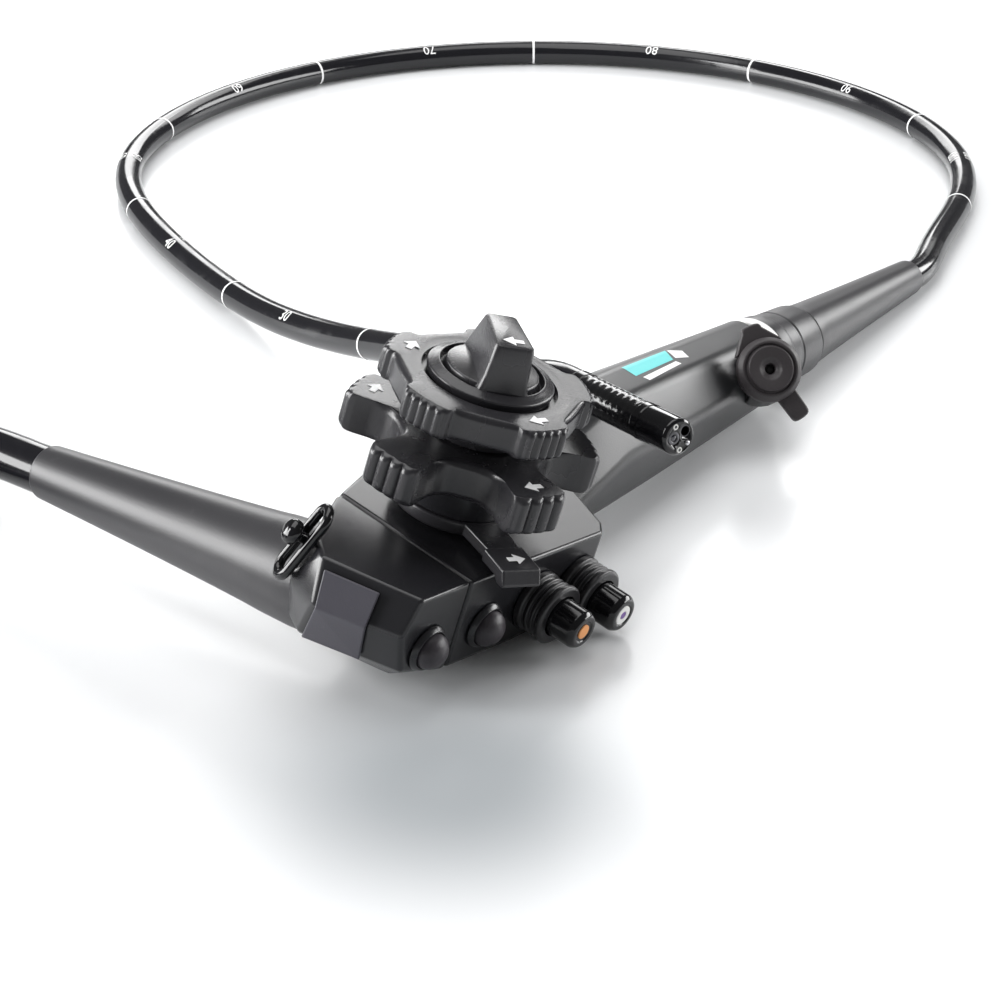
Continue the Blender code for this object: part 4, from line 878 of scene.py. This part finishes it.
def binding(name, along, long, body):
    # whipped thread under clear glue
    turns = max(3, round(long / thread["each"]))
    wound = long - 2 * thread["edge"]
    outline = [(thread["inner"], 0), (thread["radius"], 0), (thread["high"], thread["edge"])]
    for i in range(turns):
        for radius, share in (("high", 0.3), ("low", 0.8)):
            outline.append((thread[radius], thread["edge"] + wound * (i + share) / turns))
    outline += [(thread["high"], long - thread["edge"]), (thread["radius"], long), (thread["inner"], long)]
    piece(name, turned(outline, 64, True), "gloss", body, laid(bendStart + tipLine * along, tipLine))


binding("bindingFoot", -0.0062, 0.0042, "body")
binding("bindingTip", (hingeCount - 1) * tip["pitch"] + tip["collar"] - 0.001, 0.003, "tip")
print("bending section is sleeved")


# distal tip: lens, light guides, channel and nozzle let into its face

# places are across and up the face; the lens and the channel end with their radius
face = {"long": tip["long"] + tip["pitch"], "lens": (-0.0016, 0.0002, 0.0015), "guide": 0.00085,
        "guides": ((-0.001, 0.0031), (0.0001, -0.0034)), "channel": (0.0019, 0.0014, 0.0016),
        "nozzle": (0.0024, -0.0019), "lensDeep": 0.0003, "guideDeep": 0.0004, "channelDeep": 0.007,
        "drillHigh": 0.004}
tipFoot = table + bendStart + tipLine * ((hingeCount - 1) * tip["pitch"])


def onFace(y, z):
    return pointing(tipFoot + tipLine * face["long"] - tipSide * y + tipUp * z, tipLine)


def drilled(thing, place, radius, depth):
    bit = turned([(radius, -depth), (radius, face["drillHigh"])], 48)
    drill = piece(thing.name + "Drill", bit, "hole", None, place)
    cut = thing.modifiers.new("hole", "BOOLEAN")
    cut.operation, cut.solver, cut.object = "DIFFERENCE", "EXACT", drill
    cutMesh = meshOf(thing)
    thing.modifiers.clear()
    thing.data = cutMesh
    bpy.data.objects.remove(drill, do_unlink=True)


start, end, r = tip["collar"] + 0.0004, face["long"], tubeRadius
tipNodes = ("distal_tip", "objective_lens", "light_guide_upper", "light_guide_lower", "water_nozzle")
nose = [(0.0043, start - 0.0003), (r - 0.0001, start), (r, start + 0.0002), (r, end - 0.0007),
        (r - 0.0007, end)]
tipBody = spun("tipBody", nose, 0.0005, "gloss", "tip", pointing(tipFoot, tipLine), tipNodes, ring=False)
y, z, r = face["lens"]
drilled(tipBody, onFace(y, z), r + 0.0003, face["lensDeep"])
for y, z in face["guides"]:
    drilled(tipBody, onFace(y, z), face["guide"], face["guideDeep"])
y, z, r = face["channel"]
drilled(tipBody, onFace(y, z), r, face["channelDeep"])
y, z, r = face["lens"]
side = [(r - 0.0005, -0.001), (r + 0.00025, -0.001), (r + 0.00025, -0.0001), (r - 0.0003, 0.0),
        (r - 0.0005, -0.0002)]
spun("lensRing", side, 0.0001, "darkMetal", "tip", onFace(y, z), steps=64)
lensSide = [(onAxis, -0.0012), (r - 0.0005, -0.0012), (r - 0.0005, -0.0004), (r * 0.45, -0.00022),
            (onAxis, -0.00016)]
piece("lensGlass", turned(lensSide, 64), "glass", "tip", onFace(y, z))
for number, (y, z) in enumerate(face["guides"]):
    r = face["guide"]
    side = [(r * 0.5, -0.0012), (r - 0.00003, -0.0012), (r - 0.00003, -0.00005), (r * 0.5, -0.00002)]
    spun("guideRing%d" % number, side, 0.00008, "light", "tip", onFace(y, z), steps=48)
    coreSide = [(onAxis, -0.0012), (r * 0.49, -0.0012), (r * 0.49, -0.00008), (onAxis, -0.00005)]
    piece("guideCore%d" % number, turned(coreSide, 32), "glass", "tip", onFace(y, z))
y, z, r = face["channel"]
side = [(r - 0.00025, -0.0066), (r - 0.00003, -0.0066), (r - 0.00003, -0.0001), (r - 0.00025, -0.0001)]
spun("channelLiner", side, 0.00008, "darkMetal", "tip", onFace(y, z), steps=48)
side = [(onAxis, -0.0006), (0.00065, -0.0006), (0.00065, 0.0003), (0.0004, 0.0006), (onAxis, 0.0006)]
spun("rinseNozzle", side, 0.0002, "steel", "tip", onFace(*face["nozzle"]), steps=32, ring=False)
print("tip is fitted out")


# universal cord: down from its boot, a coil with its last half turn on top, then the connector

lead = {
    "diameter": cordBoot["cord"], "evenly": 0.005, "inBoot": 0.01, "beyondBoot": 0.008,
    "route": ((-0.0323, 0.134, 0.024), (-0.0305, 0.151, 0.0222), (-0.025, 0.166, 0.0178),
              (-0.0172, 0.179, 0.013), (-0.0091, 0.1912, 0.0098)),
    "centre": Vector((-0.095, 0.235, 0)), "angles": range(-12, 889, 15),
    # angle round the coil, radius, height
    "coil": ((-27, 0.0968, 0.0073), (60, 0.0823, 0.0073), (333, 0.0823, 0.0073), (420, 0.0682, 0.0073),
             (600, 0.0682, 0.0073), (690, 0.0682, 0.0215), (760, 0.0752, 0.0205), (800, 0.0752, 0.0196),
             (888, 0.0752, 0.02)),
    "plugMouth": (-0.1712, 0.181, 0.02), "beforeMouth": 0.024, "inMouth": 0.012,
}


def coilPoint(angle):
    for (a, ra, za), (b, rb, zb) in zip(lead["coil"], lead["coil"][1:]):
        if a <= angle <= b:
            share = 0.5 - 0.5 * cos(pi * (angle - a) / (b - a))
            r, z, turn = ra + (rb - ra) * share, za + (zb - za) * share, radians(angle)
            return table + lead["centre"] + Vector((r * cos(turn), r * sin(turn), z))


def pastCordBoot(along):
    return table + cordBoot["base"] + cordBoot["line"] * (cordBoot["long"] + along)


mouth = table + Vector(lead["plugMouth"])
cordRoute = [pastCordBoot(-lead["inBoot"]), pastCordBoot(lead["beyondBoot"]),
             *[table + Vector(p) for p in lead["route"]], *[coilPoint(angle) for angle in lead["angles"]],
             mouth + Vector((0, lead["beforeMouth"], 0)), mouth - Vector((0, lead["inMouth"], 0))]
cordPoints = evenly(cordRoute, lead["evenly"])
universalCord = cordCurve("universalCord", cordPoints, lead["diameter"])
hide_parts("universal_cord", "cord_coil")


# light guide connector

plug = {"x": lead["plugMouth"][0], "back": 0.1508, "height": lead["plugMouth"][2], "radius": 0.0198,
        "long": 0.056, "boot": 0.03, "bootRibs": 5, "pinAt": 0.0123, "pinShift": (0.0095, 0.004)}
toPins = Vector((0, -1, 0))


def connectorPiece(name, profile, soft, finish, node, past=0.0, shift=(0.0, 0.0), ring=False):
    place = laid((plug["x"] + shift[0], plug["back"] - past, plug["height"] + shift[1]), toPins)
    return spun(name, profile, soft, finish, "body", place, (node,), ring=ring)


def raised(profile, by):
    return [(r, z + by) for r, z in profile]


r, tall = plug["radius"], plug["long"]
ribs = []
for i in range(plug["bootRibs"]):
    out, on = 0.001 * i, 0.005 * i
    ribs += [(0.0096 + out, -0.0262 + on), (0.0088 + out, -0.025 + on), (0.0089 + out, -0.0238 + on),
             (0.01 + out, -0.0226 + on)]
bootSide = [(0.0076, -plug["boot"]), (0.0084, -plug["boot"]), (0.0092, -0.0288), *ribs, (0.015, -0.0004),
            (0.0076, -0.0004)]
bodySide = [(onAxis, 0), (0.015, 0), (0.0176, 0.0016), (r, 0.01), (r, 0.018), (r - 0.0005, 0.0186),
            (r - 0.0005, 0.02), (r, 0.0206), (r, tall - 0.006), (r - 0.003, tall), (onAxis, tall)]
ringSide = [(0.006, 0.0003), (0.0163, 0.0003), (0.0165, 0.003), (0.0159, 0.0036), (0.0159, 0.0044),
            (0.0165, 0.005), (0.0165, 0.011), (0.0155, 0.012), (0.006, 0.012)]
guideSide = [(onAxis, 0.0003), (0.0055, 0.0003), (0.0055, 0.028), (0.0044, 0.03), (0.0044, 0.044),
             (0.0038, 0.045), (0.003, 0.045), (0.0028, 0.0446), (onAxis, 0.0446)]
airSide = [(0.0012, 0), (0.0019, 0), (0.0019, 0.0145), (0.0016, 0.015), (0.0012, 0.015)]
plugPieces = [
    connectorPiece("plugBoot", bootSide, 0.0004, "boot", "connector_boot", ring=True),
    connectorPiece("plugBody", bodySide, 0.0006, "housing", "connector_body"),
    connectorPiece("plugRing", raised(ringSide, tall), 0.0004, "steel", "connector_ring", ring=True),
    connectorPiece("guidePin", raised(guideSide, tall), 0.0003, "steel", "light_guide_pin"),
    connectorPiece("airPin", airSide, 0.0002, "steel", "air_pipe", tall + plug["pinAt"], plug["pinShift"],
                   ring=True),
]
print("universal cord is coiled, %.3f m long" % lengthOf(cordPoints))


# table and light

floorShape = bmesh.new()
low, high = studio["floorFrom"], studio["floorTo"]
for x, y in ((low, low), (high, low), (high, high), (low, high)):
    floorShape.verts.new((x, y, 0))
floorShape.faces.new(floorShape.verts)
floorMesh = bpy.data.meshes.new("tableTop")
floorShape.to_mesh(floorMesh)
floor = shown("tableTop", floorMesh)
floorFinish = Finish("paleTable")
# painted shadow: the table's colour is greyer in front of the control head; the table also fades to white far off
away = floorFinish.node("VectorMath", {"operation": "DISTANCE"}, out=1, i0=floorFinish.place(),
                        i1=tuple(table + Vector(studio["shadeAt"])))
smooth = {"interpolation_type": "SMOOTHSTEP"}
share = floorFinish.node("MapRange", smooth, Value=away, From_Min=studio["shadeFrom"],
                         From_Max=studio["shadeTo"])
tone = floorFinish.blend(share, studio["shade"], studio["floor"])
solid = floorFinish.node("MapRange", smooth, Value=away, From_Min=studio["fadeFrom"],
                         From_Max=studio["fadeTo"], To_Min=1.0, To_Max=0.0)
rough = studio["floorRoughness"]
floorMesh.materials.append(floorFinish.surface(Base_Color=tone, Roughness=rough, Alpha=solid))

world = bpy.data.worlds.new("studioWorld")
bpy.context.scene.world = world
world.use_nodes = True
tree = world.node_tree
path = tree.nodes.new("ShaderNodeLightPath")
through = Wire(tree, path.outputs["Is Transmission Ray"])
seen = Wire(tree, path.outputs["Is Camera Ray"]).join("MAXIMUM", through)
glossy = Wire(tree, path.outputs["Is Glossy Ray"])
strength = seen * studio["seenMore"] - glossy * studio["glossyLess"] + studio["ambient"]
tree.nodes["Background"].inputs["Color"].default_value = (1, 1, 1, 1)
tree.links.new(strength.socket, tree.nodes["Background"].inputs["Strength"])

# where each lamp stands, what it points at, its width and height in metres and its power in watts
lamps = {
    "overhead": ((0.05, 0.3, 1.5), (0.05, 0.1, 0), (1.6, 1.2), 15),
    "backWall": ((1.15, 1.1, 0.6), (-0.05, 0, 0.03), (0.8, 0.5), 7),
    "backGlow": ((0.98, 0.42, 0.6), (-0.1, 0, 0.04), (0.5, 0.34), 2),
    "leftBack": ((-0.8, 1.05, 0.28), (-0.05, 0, 0.03), (1.3, 0.5), 24),
    "leftFill": ((-0.98, 0.75, 0.75), (-0.05, 0, 0.03), (0.35, 0.5), 9),
    "rightSide": ((1.15, -0.78, 0.48), (0.05, 0, 0.03), (1.5, 0.5), 22),
}
for name, (at, aimAt, size, power) in lamps.items():
    lamp = bpy.data.lights.new(name, "AREA")
    lamp.shape = "RECTANGLE"
    lamp.size, lamp.size_y = size
    lamp.energy = power
    made = shown(name, lamp)
    made.location = at
    made.rotation_euler = (Vector(aimAt) - Vector(at)).to_track_quat("-Z", "Y").to_euler()
print("table and lights are set")
